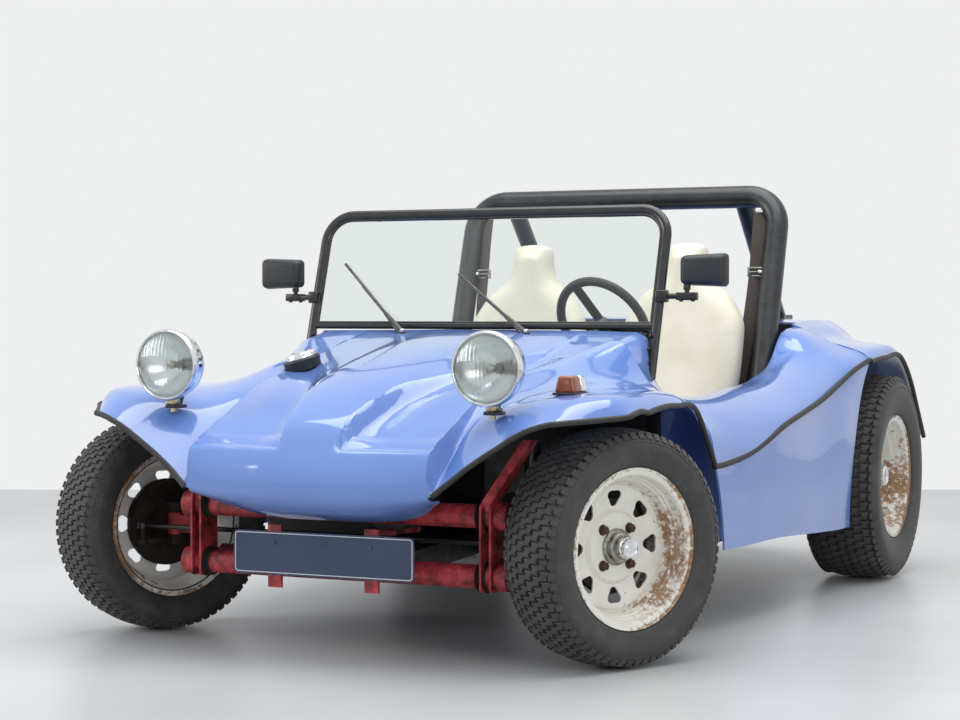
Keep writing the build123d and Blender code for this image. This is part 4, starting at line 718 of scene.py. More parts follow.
REAR_SECTIONS = [
    (0.8780, [(0.690, 1.000), (0.740, 0.980), (0.790, 0.948), (0.860, 0.926), (0.930, 0.905),
              (0.975, 0.885), (0.994, 0.860)]),
    (0.9600, [(0.690, 1.012), (0.740, 0.988), (0.790, 0.950), (0.860, 0.928), (0.930, 0.918),
              (0.982, 0.905), (1.000, 0.872)]),
    (1.0600, [(0.690, 1.012), (0.740, 0.985), (0.790, 0.945), (0.860, 0.922), (0.930, 0.908),
              (0.982, 0.895), (1.000, 0.866)]),
    (1.1200, [(0.690, 1.000), (0.740, 0.965), (0.790, 0.915), (0.860, 0.875), (0.930, 0.848),
              (0.982, 0.820), (1.000, 0.775)]),
    (1.1800, [(0.690, 0.900), (0.740, 0.850), (0.790, 0.790), (0.860, 0.740), (0.930, 0.705),
              (0.980, 0.675), (0.996, 0.640)]),
    (1.2320, [(0.690, 0.740), (0.740, 0.690), (0.790, 0.640), (0.860, 0.600), (0.930, 0.570),
              (0.975, 0.550), (0.990, 0.530)]),
]
DECK_LINES = [
    (0.00, [(0.905, 0.998), (0.935, 1.002), (0.970, 1.006), (1.060, 1.004), (1.140, 0.985),
            (1.195, 0.900), (1.215, 0.800)]),
    (0.40, [(0.905, 0.997), (0.935, 1.001), (0.970, 1.004), (1.060, 1.002), (1.138, 0.980),
            (1.190, 0.895), (1.212, 0.790)]),
    (0.690, [(0.905, 0.984), (0.935, 0.988), (0.970, 0.991), (1.060, 0.991), (1.120, 0.978),
             (1.180, 0.880), (1.205, 0.780)]),
]
# the raised middle of the hood: how far out its valley runs, and how deep it is, by place along
VALLEY_X = [(-0.40, 0.085), (-0.34, 0.098), (-0.29, 0.110), (-0.13, 0.148), (0.04, 0.228),
            (0.24, 0.340), (0.45, 0.460)]
VALLEY_DEPTH = [(-0.40, 0.012), (-0.34, 0.030), (-0.29, 0.046), (-0.20, 0.040), (-0.13, 0.032), (0.04, 0.021),
                (0.24, 0.013), (0.45, 0.004)]


def straight(table, t):
    """A value read from a table of pairs, in straight lines."""
    if t <= table[0][0]:
        return table[0][1]
    for (t0, v0), (t1, v1) in zip(table, table[1:]):
        if t <= t1:
            return v0 + (v1 - v0) * (t - t0) / (t1 - t0)
    return table[-1][1]


def hood_relief(place):
    """How much lower the hood lies beside its raised middle; place is a point of the plain hood."""
    y = place.y - FRONT_Y
    rise = step((place.z - 0.545) / 0.045)
    if y > 0.50 or rise == 0:
        return 0.0
    out = abs(place.x) - straight(VALLEY_X, y)
    depth = straight(VALLEY_DEPTH, y) * rise
    wall = 0.013 + 0.05 * step((y + 0.30) / 0.6)
    if out < 0:
        return -depth * (1 - step(-out / wall))
    lobe = straight([(-0.30, 0.25), (-0.13, 0.45), (0.04, 0.75), (0.45, 1.0)], y)
    return -depth * (1 - lobe * step(out / 0.11))


def relaxed(rows, passes):
    """Evens out the small waves of a grid of points, with its outer rows and columns held."""
    for turn in range(passes):
        found = [list(row) for row in rows]
        for i in range(1, len(rows) - 1):
            for j in range(1, len(rows[0]) - 1):
                found[i][j] = (rows[i][j] * 2 + rows[i - 1][j] + rows[i + 1][j] + rows[i][j - 1]
                               + rows[i][j + 1]) / 6
        rows = found
    return rows


def hood_rows():
    """Rows across the hood, from the under-nose edge back to the screen."""
    lines = []
    for x, line in [(-x, pts) for x, pts in HOOD_LINES[:0:-1]] + HOOD_LINES:
        lines.append(refined([Vector((x * HALF, along(y), z * COWL)) for y, z in line], 12))
    rows = relaxed([refined(list(row), 12) for row in zip(*lines)], 26)
    return [[p + Vector((0, 0, hood_relief(p))) for p in row] for row in rows]


def section_reader(table, count):
    """Sections refined across, as smooth lines along the body that can be read at any place."""
    fine = [refined([Vector((x * HALF, along(y), z * COWL)) for x, z in pts], count) for y, pts in table]
    knots = [row[0].y for row in fine]
    columns = [list(column) for column in zip(*fine)]
    return lambda y: [eased_line(knots, column, y) for column in columns]


def rows_between(table, count, stations):
    """Rows of points at the given places along the body."""
    read = section_reader(table, count)
    return [read(y) for y in stations]


def spread(a, b, count):
    """Even steps from a to b, both ends included."""
    return [a + (b - a) * i / count for i in range(count + 1)]


def bead(points, name, radius=0.0075):
    """Rubber trim along a panel's edge, mirrored to the other side."""
    left = wire(points, radius)
    right = copy_of(left, MIRROR)
    strip = joined([left, right])
    return done(strip, name, trim_rubber, angle=60, slot="black_plastic")


def front_body():
    """The hood, both front wings, the cowl's sides and the bulkhead; returns the wing's rim."""
    rows = hood_rows()
    hood = skinned(rows)
    # the fender's inner edge starts on the hood's side, so that both meet on one line
    edge = [row[-1] for row in rows]
    first, last = along(-0.170), along(0.245)
    back = [p for p in edge if p.z > 0.585 and p.y > first + 0.002]
    # the row where the wing ends and the cowl's side and the flank begin
    after = next(i for i, p in enumerate(edge) if p.y > last)
    share = (last - edge[after - 1].y) / (edge[after].y - edge[after - 1].y)
    corner = edge[after - 1].lerp(edge[after], share)
    front_edge = [(0.36, -0.383), (0.41, -0.368), (0.53, -0.357), (0.62, -0.352), (0.68, -0.335),
                  (0.74, -0.295), (0.80, -0.228)]
    read = section_reader(FENDER_SECTIONS, 7)

    def wing_row(y, inner):
        fade = 1 - step((y - first) / (along(-0.04) - first))
        moved = []
        for p in read(y):
            q = Vector((p.x, y + (FRONT_Y + straight(front_edge, p.x) - first) * fade, p.z))
            if y > along(-0.02):
                q.z += hood_relief(q)
            moved.append(q)
        return [inner + (moved[0] - inner) * i / 5 for i in range(5)] + moved

    tip = wing_row(first, Vector((0.3540, first - 0.028, 0.447)))
    sheet = [wing_row(p.y, p) for p in back if p.y < last - 0.006] + [wing_row(last, corner)]
    # the nose's side, from its lower corner up to the first full row
    cheek = [p for p in edge if 0.447 < p.z and p.y <= back[0].y and p.z < back[0].z]
    between = []
    for i, p in enumerate(cheek):
        t = step((i + 1) / (len(cheek) + 1))
        row = [a + (b - a) * t for a, b in zip(tip, sheet[0])]
        between.append([p + (row[5] - p) * k / 5 for k in range(5)] + row[5:])
    sheet = relaxed([tip] + between + sheet, 10)
    left = skinned(sheet)
    right = copy_of(left, MIRROR)
    trim = [row[-1] for row in sheet]
    cowl_read = section_reader(COWL_SECTIONS, 7)
    cowl_rows = []
    for p in [corner] + [q for q in edge if q.y > last + 0.006]:
        line = [Vector((q.x, p.y, q.z)) for q in cowl_read(max(p.y, last))]
        cowl_rows.append([p + (line[0] - p) * i / 5 for i in range(5)] + line)
    cowl = skinned(relaxed(cowl_rows, 4))
    cowl_right = copy_of(cowl, MIRROR)
    done(hood, "hood_moulding", gelcoat, slot="gelcoat", replaces=("hood_nose",))
    done(left, "front_wing_left", gelcoat, slot="gelcoat", replaces=("fender_front_left",))
    done(right, "front_wing_right", gelcoat, slot="gelcoat", replaces=("fender_front_right",))
    done(joined([settle(cowl), settle(cowl_right)]), "cowl_sides", gelcoat, slot="gelcoat")
    # the blackened bulkhead in front of the footwells, and the dark inner walls of the wheel arches
    panels = [block(-0.600, 0.600, -0.694, -0.688, 0.222, 0.700, 0.002)]
    for side in (1, -1):
        panels.append(block(side * 0.598, side * 0.640, -0.694, -0.676, 0.250, 0.664, 0.002))
        panels.append(block(side * 0.392, side * 0.398, FRONT_Y - 0.13, -0.690, 0.430, 0.640, 0.002))
    done(joined(panels), "front_bulkhead", pan_black, slot="pan_paint")
    return tip[5:] + trim[1:]


def side_panels():
    """The flanks with their arches cut, and the cockpit's inner walls."""
    stations = spread(along(0.2450), along(0.878), 110)
    rows = relaxed(rows_between(SIDE_SECTIONS, 9, stations), 8)
    panel = skinned(rows, up=(1, 0, 0.6))
    settle(panel)
    # the slanted edge behind the front wheel and the rear arch are cut away
    head, toe = Vector((0, along(0.2455), 0.545 * COWL)), Vector((0, along(0.293), 0.275 * COWL))
    bare()
    bpy.ops.mesh.primitive_cylinder_add(vertices=180, radius=0.4985, depth=2.0,
                                        location=(0.9, FRONT_Y + 2.1485, 0.37),
                                        rotation=(0, math.radians(90), 0))
    arch = bpy.context.object
    bare()
    bpy.ops.mesh.primitive_cube_add(size=1)
    wedge = bpy.context.object
    slope = math.atan2(toe.y - head.y, head.z - toe.z)
    wedge.scale = (2, 0.5, 1.2)
    wedge.rotation_euler = (slope, 0, 0)
    wedge.location = Vector((0.9, head.y, head.z)) + Vector((0, -0.25 * math.cos(slope),
                                                             -0.25 * math.sin(slope)))
    for tool in (arch, wedge):
        cut = panel.modifiers.new("opening", "BOOLEAN")
        cut.operation = "DIFFERENCE"
        cut.object = tool
        cut.solver = "EXACT"
        settle(panel)
        bpy.data.objects.remove(tool)
    right = copy_of(panel, MIRROR)
    # the inner wall of the cockpit, down to the floor
    walls = []
    for side in (1, -1):
        top = [Vector((side * (row[0].x + 0.0005), row[0].y, row[0].z + 0.004)) for row in rows]
        line = [Vector((p.x, p.y, 0.214)) for p in top]
        inner = skinned([line, [(a + b) / 2 for a, b in zip(line, top)], top], wall=0.005, up=(-side, 0, 0))
        walls.append(settle(inner))
    done(panel, "flank_left", gelcoat, slot="gelcoat", replaces=("side_panel_left",))
    done(right, "flank_right", gelcoat, slot="gelcoat", replaces=("side_panel_right",))
    done(joined(walls), "cockpit_walls", gelcoat, slot="gelcoat")


def rear_body():
    """The rear wings and the deck; returns the wing's rim."""
    stations = spread(along(0.878), along(1.232), 90)
    rows = relaxed(rows_between(REAR_SECTIONS, 9, stations), 8)
    wing = skinned(rows)
    settle(wing)
    right = copy_of(wing, MIRROR)
    done(wing, "rear_wing_left", gelcoat, slot="gelcoat", replaces=("fender_rear_left",))
    done(right, "rear_wing_right", gelcoat, slot="gelcoat", replaces=("fender_rear_right",))
    lines = []
    for x, line in [(-x, pts) for x, pts in DECK_LINES[:0:-1]] + DECK_LINES:
        lines.append(refined([Vector((x * HALF, along(y), z * DECK)) for y, z in line], 10))
    deck = skinned([refined(list(row), 12) for row in zip(*lines)])
    done(deck, "rear_deck", gelcoat, slot="gelcoat", replaces=("deck_rear",))
    return [row[-1] for row in rows]


front_trim = front_body()
side_panels()
rear_trim = rear_body()
bead(front_trim, "front_wing_trim")
bead([p + Vector((0.002, 0, -0.002)) for p in rear_trim], "rear_wing_trim", 0.008)
STRIP = [(0.800, 0.497, 0.480), (0.806, 0.56, 0.480), (0.820, 0.723, 0.497), (0.832, 0.87, 0.530),
         (0.842, 1.008, 0.573), (0.850, 1.18, 0.604), (0.856, 1.368, 0.638), (0.864, 1.53, 0.685),
         (0.872, 1.695, 0.731), (0.879, 1.82, 0.752)]
bead([Vector((x, FRONT_Y + y, z)) for x, y, z in STRIP], "rub_strip", 0.008)


# ---------------------------------------------------------------- wheels and tyres
# made with the axle on X and the outer side along +X, then set on their axles
def on_axle(side, front):
    """Where a wheel sits: the left side for 1, the right for -1."""
    flip = Matrix.Identity(4) if side > 0 else Matrix.Rotation(math.pi, 4, "Z")
    if not front:
        return Matrix.Translation((side * REAR_WHEEL_X, REAR_Y, REAR_Z)) @ flip
    place = Matrix.Translation((side * KINGPIN_X, FRONT_Y, FRONT_Z)) @ Matrix.Rotation(REST_TURN, 4, "Z")
    return place @ Matrix.Translation((side * WHEEL_OUT, 0, 0)) @ flip


def hex_nut(x, y, z, radius=0.0115, height=0.014):
    """A wheel nut with a coned foot and a domed end, along X."""
    bare()
    bpy.ops.mesh.primitive_cylinder_add(vertices=6, radius=radius, depth=height,
                                        location=(x + height / 2, y, z), rotation=(0, math.radians(90), 0))
    nut = bpy.context.object
    edges = nut.modifiers.new("edges", "BEVEL")
    edges.width = 0.0016
    edges.segments = 3
    settle(nut)
    dome = turned([(x + height * 0.9, 0.0), (x + height * 1.25, 0.0), (x + height * 1.2, radius * 0.45),
                   (x + height * 1.0, radius * 0.72), (x + height * 0.9, radius * 0.75)], 20)
    dome.data.transform(Matrix.Translation((0, y, z)))
    foot = turned([(x - 0.004, radius * 1.25), (x, radius * 1.25), (x + 0.003, radius * 1.1),
                   (x + 0.003, 0.001)], 24)
    foot.data.transform(Matrix.Translation((0, y, z)))
    return joined([nut, outward(dome), outward(foot)])


def stain(obj, rule):
    """How much rust each point of a wheel carries, from 0 to 1."""
    data = obj.data.attributes.new("wear", "FLOAT", "POINT")
    for i, vertex in enumerate(obj.data.vertices):
        data.data[i].value = rule(vertex.co)


def wheel_parts(width, dish, cap):
    """A deep-dished pressed steel wheel: rolled lip, stepped barrel, disc with eight windows, hub and cap."""
    w, face = width / 2, width / 2 - dish
    barrel = [(w - 0.0060, 0.2015), (w - 0.0045, 0.2060), (w - 0.0015, 0.2082), (w + 0.0002, 0.2074),
              (w - 0.0006, 0.2044), (w - 0.0030, 0.2012), (w - 0.0040, 0.1960), (w - 0.0050, 0.1905),
              (w - 0.0085, 0.1872), (w - 0.0150, 0.1862), (w - 0.0290, 0.1852), (w - 0.0340, 0.1836),
              (w - 0.0365, 0.1800), (w - 0.0410, 0.1786), (w - 0.0530, 0.1776), (w - 0.0560, 0.1758),
              (w - 0.0590, 0.1722), (face + 0.0060, 0.1704), (face + 0.0010, 0.1690), (face - 0.0060, 0.1680),
              (-w * 0.4, 0.1690), (-w * 0.62, 0.1830), (-w + 0.016, 0.1856), (-w + 0.0060, 0.1880),
              (-w + 0.0035, 0.2010), (-w + 0.0005, 0.2070), (-w + 0.0004, 0.2080), (-w + 0.0040, 0.2072),
              (-w + 0.0078, 0.2000), (-w + 0.0090, 0.1905), (-w * 0.6, 0.1880), (-w * 0.4, 0.1735),
              (w * 0.42, 0.1735), (w - 0.036, 0.1880), (w - 0.0090, 0.1905)]
    shell = outward(turned(barrel + [barrel[0]], 144))
    bell = [(face - 0.0085, 0.1690), (face - 0.0078, 0.1630), (face - 0.0045, 0.1600),
            (face - 0.0035, 0.1560), (face - 0.0040, 0.1460), (face - 0.0062, 0.1300),
            (face - 0.0088, 0.1150), (face - 0.0108, 0.1040), (face - 0.0112, 0.0975),
            (face - 0.0060, 0.0920), (face - 0.0005, 0.0870), (face + 0.0004, 0.0820),
            (face + 0.0004, 0.0500), (face + 0.0004, 0.0200)]
    plate = turned(bell + [(x - 0.0045, r) for x, r in reversed(bell)] + [bell[0]], 128)
    outward(plate)
    bare()
    bpy.ops.mesh.primitive_circle_add(vertices=40, radius=1.0, fill_type="NGON")
    cutter = bpy.context.object
    for vertex in cutter.data.vertices:
        a = math.atan2(vertex.co.y, vertex.co.x)
        # a rounded triangle: flat side outwards, its point towards the hub
        lobe = 1.0 + 0.16 * math.cos(3 * (a - math.radians(90)) + math.pi)
        vertex.co = (-0.05, 0.0222 * lobe * math.cos(a), 0.1275 + 0.0205 * lobe * math.sin(a))
    edit(cutter)
    bpy.ops.mesh.extrude_region_move(TRANSFORM_OT_translate={"value": (0.12, 0, 0)})
    bpy.ops.mesh.select_all(action="SELECT")
    bpy.ops.mesh.normals_make_consistent(inside=False)
    leave()
    cutters = [copy_of(cutter, Matrix.Rotation(math.tau * i / 8, 4, "X")) for i in range(1, 8)] + [cutter]
    tool = joined(cutters)
    tool.data.transform(Matrix.Translation((face, 0, 0)))
    cut = plate.modifiers.new("windows", "BOOLEAN")
    cut.operation = "DIFFERENCE"
    cut.object = tool
    cut.solver = "EXACT"
    settle(plate)
    bpy.data.objects.remove(tool)
    rim = joined([shell, plate])
    back = Vector((0, 1, -0.15)).normalized()

    def rule(co):
        around = Vector((0, co.y, co.z))
        turn = around.normalized().dot(back) if around.length > 1e-4 else 0
        r = around.length
        if r < 0.1685:
            return 0.10 + 0.15 * max(0.0, turn) * (r > 0.158)
        return min(1.0, 0.22 + 0.46 * step((turn + 0.1) / 1.1) + (0.30 if r > 0.2000 else 0.0))

    stain(rim, rule)
    nuts = joined([hex_nut(face + 0.0004, 0.065 * math.sin(a), 0.065 * math.cos(a))
                   for a in [math.tau * (i + 0.5) / 4 for i in range(4)]])
    if cap == "front":
        hub = [(face, 0.0), (face, 0.0480), (face + 0.006, 0.0470), (face + 0.009, 0.0440),
               (face + 0.0100, 0.0400), (face + 0.0240, 0.0385), (face + 0.0262, 0.0362),
               (face + 0.0270, 0.0310), (face + 0.0380, 0.0300), (face + 0.0392, 0.0290)]
        bright = [(face + 0.0385, 0.0), (face + 0.0385, 0.0268), (face + 0.0400, 0.0278),
                  (face + 0.0440, 0.0280), (face + 0.0450, 0.0262), (face + 0.0530, 0.0256),
                  (face + 0.0562, 0.0240), (face + 0.0575, 0.0205), (face + 0.0560, 0.0180),
                  (face + 0.0552, 0.0125), (face + 0.0578, 0.0110), (face + 0.0580, 0.0)]
    else:
        hub = [(face, 0.0), (face, 0.0440), (face + 0.004, 0.0430), (face + 0.0060, 0.0400),
               (face + 0.0440, 0.0392), (face + 0.0470, 0.0375), (face + 0.0480, 0.0340)]
        bright = [(face + 0.0475, 0.0), (face + 0.0475, 0.0340), (face + 0.0500, 0.0352),
                  (face + 0.0570, 0.0350), (face + 0.0600, 0.0330), (face + 0.0612, 0.0280),
                  (face + 0.0595, 0.0230), (face + 0.0592, 0.0)]
    hub = outward(turned(hub + [(hub[-1][0], 0.0)], 64))
    bright = outward(turned(bright, 64))
    if cap == "front":
        hexagon = hex_nut(face + 0.0552, 0, 0, 0.0100, 0.0018)
        bright = joined([bright, hexagon])
    drum = outward(turned([(-0.028, 0.124), (face - 0.021, 0.124), (face - 0.018, 0.118),
                           (face - 0.018, 0.060), (face - 0.022, 0.060), (face - 0.024, 0.115),
                           (-0.028, 0.117), (-0.028, 0.124)], 72))
    return rim, nuts, hub, bright, drum


def crown(v, half, top, drop=0.012):
    """The tread's radius across its width."""
    t = abs(v) / half
    return top - drop * t ** 2.6


def tyre_parts(od, section, width, columns, pitch):
    """A road tyre: moulded carcass with ribbed sidewalls, and interlocked S-shaped tread blocks."""
    top, half = od / 2, section / 2
    bead = width / 2 - 0.0045
    tread = half * 0.80
    base = top - 0.0075
    side = [(bead - 0.010, 0.1880), (bead - 0.001, 0.1900), (bead + 0.0005, 0.1990),
            (bead - 0.0015, 0.2065), (bead + 0.0025, 0.2110), (bead + (half - bead) * 0.42, 0.2155),
            (bead + (half - bead) * 0.56, 0.2215)]
    rise = top - 0.016 - 0.2215
    for t, bulge in ((0.16, 0.74), (0.34, 0.92), (0.52, 0.995), (0.68, 0.985)):
        side.append((bead + (half - bead) * bulge, 0.2215 + rise * t))
    side += [(half * 0.972, 0.2215 + rise * 0.74), (half * 0.985, 0.2215 + rise * 0.76),
             (half * 0.978, 0.2215 + rise * 0.80), (half * 0.955, 0.2215 + rise * 0.83),
             (half * 0.93, top - 0.0240), (half * 0.875, top - 0.0165)]
    outer = [(tread * s, crown(tread * s, tread, base)) for s in (0.99, 0.8, 0.6, 0.4, 0.2, 0.0)]
    right = side + outer
    profile = right + [(-x, r) for x, r in reversed(right[:-1])]
    inside = [(-bead + 0.012, 0.196), (-half * 0.9, 0.24), (-half * 0.86, top - 0.03),
              (half * 0.86, top - 0.03), (half * 0.9, 0.24), (bead - 0.012, 0.196)]
    carcass = outward(turned(profile + inside + [profile[0]], 128))
    # one S-shaped block, drawn flat: along the tread is X, across it is Y
    lane = 2 * tread / columns
    long, wide = pitch * 0.86, lane * 0.86
    outline = []
    steps = 7
    for i in range(steps):
        t = -0.5 + i / (steps - 1)
        outline.append((t * long, -0.5 * wide + 0.20 * wide * math.sin(math.tau * t)))
    for i in range(steps):
        t = 0.5 - i / (steps - 1)
        outline.append((t * long, 0.5 * wide + 0.20 * wide * math.sin(math.tau * t)))
    bare()
    bpy.ops.mesh.primitive_circle_add(vertices=len(outline), radius=1, fill_type="NGON")
    block_ = bpy.context.object
    for vertex, (x, y) in zip(block_.data.vertices, outline):
        vertex.co = (x, y, 0)
    edit(block_)
    bpy.ops.mesh.extrude_region_move(TRANSFORM_OT_translate={"value": (0, 0, 0.0066)})
    bpy.ops.transform.resize(value=(0.97, 0.97, 1), center_override=(0, 0, 0.0066))
    bpy.ops.mesh.extrude_region_move(TRANSFORM_OT_translate={"value": (0, 0, 0.0013)})
    bpy.ops.transform.resize(value=(0.84, 0.84, 1), center_override=(0, 0, 0.0079))
    bpy.ops.mesh.select_all(action="SELECT")
    bpy.ops.mesh.normals_make_consistent(inside=False)
    leave()
    row = []
    for c in range(columns):
        twin = copy_of(block_)
        shift = pitch * (0.5 if c % 2 else 0.0)
        mid_v = (c - (columns - 1) / 2) * lane
        for vertex in twin.data.vertices:
            u, v, h = vertex.co.x + shift, vertex.co.y + mid_v, vertex.co.z
            r = crown(v, tread, base) + h - 0.0006
            vertex.co = (v, r * math.sin(u / top), r * math.cos(u / top))
        row.append(twin)
    # the shoulder's short lugs
    for s in (-1, 1):
        lug = block(-0.5, 0.5, -0.5, 0.5, -0.5, 0.5, 0)
        lug.data.transform(Matrix.Diagonal((0.020, pitch * 0.62, 0.006, 1)))
        lug.data.transform(Matrix.Rotation(s * math.radians(52), 4, "Y"))
        lug.data.transform(Matrix.Translation((s * (tread + (half - tread) * 0.42), 0, top - 0.0178)))
        lug.data.transform(Matrix.Rotation((pitch * (0.5 if (s > 0) == (columns % 2 == 0) else 0.0)) / top,
                                           4, "X"))
        row.append(lug)
    row = joined(row)
    bpy.data.objects.remove(block_)
    count = round(math.tau * top / pitch)
    rows = [copy_of(row, Matrix.Rotation(math.tau * i / count, 4, "X")) for i in range(1, count)] + [row]
    return joined([carcass, joined(rows)])


def wheels():
    """Both axles' wheels: one set of parts each, copied to the left and right."""
    for front in (True, False):
        if front:
            rim, nuts, hub, bright, drum = wheel_parts(0.162, 0.072, "front")
            tyre = tyre_parts(0.614, 0.197, 0.162, 6, 0.0290)
        else:
            rim, nuts, hub, bright, drum = wheel_parts(0.222, 0.092, "rear")
            tyre = tyre_parts(0.698, 0.258, 0.222, 7, 0.0330)
        end = "front" if front else "rear"
        for side, hand in ((1, "left"), (-1, "right")):
            place = on_axle(side, front)
            body = "wheel_%s_%s" % (end, hand)
            done(copy_of(rim, place), "wheel_disc_%s_%s" % (end, hand), wheel_white, body, "wheel_white", 30,
                 ("rim_%s_%s" % (end, hand),))
            done(copy_of(nuts, place), "wheel_nuts_%s_%s" % (end, hand), nut_brown, body, "wheel_white", 30)
            done(copy_of(hub, place), "hub_%s_%s" % (end, hand), alloy, body, "wheel_white", 30)
            done(copy_of(bright, place), "hub_cap_%s_%s" % (end, hand), chrome, body, "wheel_white", 30)
            done(copy_of(drum, place), "brake_drum_%s_%s" % (end, hand), cast_iron, body, "cast_iron", 30)
            done(copy_of(tyre, place), "tyre_%s_%s_dressed" % (end, hand), rubber, body, "tyre_rubber", 38,
                 ("tyre_%s_%s" % (end, hand),))
        for obj in (rim, nuts, hub, bright, drum, tyre):
            bpy.data.objects.remove(obj)


wheels()


# ---------------------------------------------------------------- screen, lamps and fittings
# the screen: a rounded tube frame with an inner bead, its feet bolted to the cowl
LEAN = math.radians(17.3)
SCREEN_FOOT = Vector((0, along(0.3115), 0.858))
UP_SCREEN = Vector((0, math.sin(LEAN), math.cos(LEAN)))
OUT_SCREEN = Vector((0, -math.cos(LEAN), math.sin(LEAN)))


def on_screen(x, up, out=0.0):
    """A point in the screen's plane, or a little in front of it."""
    return SCREEN_FOOT + Vector((x, 0, 0)) + UP_SCREEN * up + OUT_SCREEN * out


def arched(half, low, top, corner, out=0.0, turns=10):
    """Points up one leg, round both top corners and down the other leg, in the screen's plane."""
    points = [on_screen(-half, low, out), on_screen(-half, (low + top - corner) / 2, out)]
    for i in range(turns + 1):
        a = math.pi - math.pi / 2 * i / turns
        points.append(on_screen(-half + corner + corner * math.cos(a), top - corner + corner * math.sin(a),
                                out))
    for i in range(turns + 1):
        a = math.pi / 2 - math.pi / 2 * i / turns
        points.append(on_screen(half - corner + corner * math.cos(a), top - corner + corner * math.sin(a),
                                out))
    return points + [on_screen(half, (low + top - corner) / 2, out), on_screen(half, low, out)]


def squashed(obj, share):
    """Flattens a tube of the frame towards the screen's plane."""
    for vertex in obj.data.vertices:
        away = (vertex.co - SCREEN_FOOT).dot(OUT_SCREEN)
        vertex.co -= OUT_SCREEN * away * (1 - share)
    return obj


def screen():
    """The tube frame, its inner bead and foot, its hinge plates and screws."""
    tube = squashed(wire(arched(0.5705, -0.146, 0.3715, 0.086), 0.0150, resolution=8, smooth=False), 0.70)
    bead_in = wire(arched(0.5540, 0.006, 0.3550, 0.070), 0.0052, resolution=5, smooth=False)
    lip = squashed(wire(arched(0.5610, 0.004, 0.3620, 0.077, 0.0), 0.0085, resolution=5, smooth=False), 0.5)
    foot = squashed(wire([on_screen(-0.566, 0.0115), on_screen(0.566, 0.0115)], 0.0108, resolution=6,
                         smooth=False), 0.80)
    foot_bead = wire([on_screen(-0.556, 0.0205, 0.0045), on_screen(0.556, 0.0205, 0.0045)], 0.0034,
                     resolution=4, smooth=False)
    done(joined([tube, bead_in, lip, foot, foot_bead]), "screen_frame_dressed", frame_black,
         slot="screen_frame", angle=60, replaces=("windshield_frame",))
    # hinge plates and their bolts on the posts, screws at the cowl's corners
    plates, screws = [], []
    for side in (1, -1):
        a, b = on_screen(side * 0.560, -0.006), on_screen(side * 0.560, -0.122)
        plate = bar(a, b, 0.0125, 4, 0.002)
        mid = (a + b) / 2
        plate.data.transform(Matrix.Translation(mid) @ Matrix.Diagonal((0.55, 1, 1, 1))
                             @ Matrix.Translation(-mid))
        plates.append(plate)
        for up in (-0.022, -0.062, -0.104):
            place = on_screen(side * 0.560, up, 0.012)
            screws.append(outward(bar(place, place + OUT_SCREEN * 0.006, 0.0058, 20, 0.0018, 0.0046)))
        spot = Vector((side * 0.548, SCREEN_FOOT.y - 0.026, 0.8435))
        screws.append(bar(spot, spot + Vector((0, -0.002, 0.006)), 0.0052, 20, 0.0014))
    done(joined(plates), "screen_hinge_plates", abs_black, slot="black_plastic")
    done(joined(screws), "screen_screws", sheet_black, slot="bright_trim")


def at_lamp(side):
    """Where a headlamp sits, facing forward."""
    return Matrix.Translation((side * LAMP_X, FRONT_Y - 0.299, 0.768)) @ Matrix.Rotation(-math.pi / 2, 4, "Z")


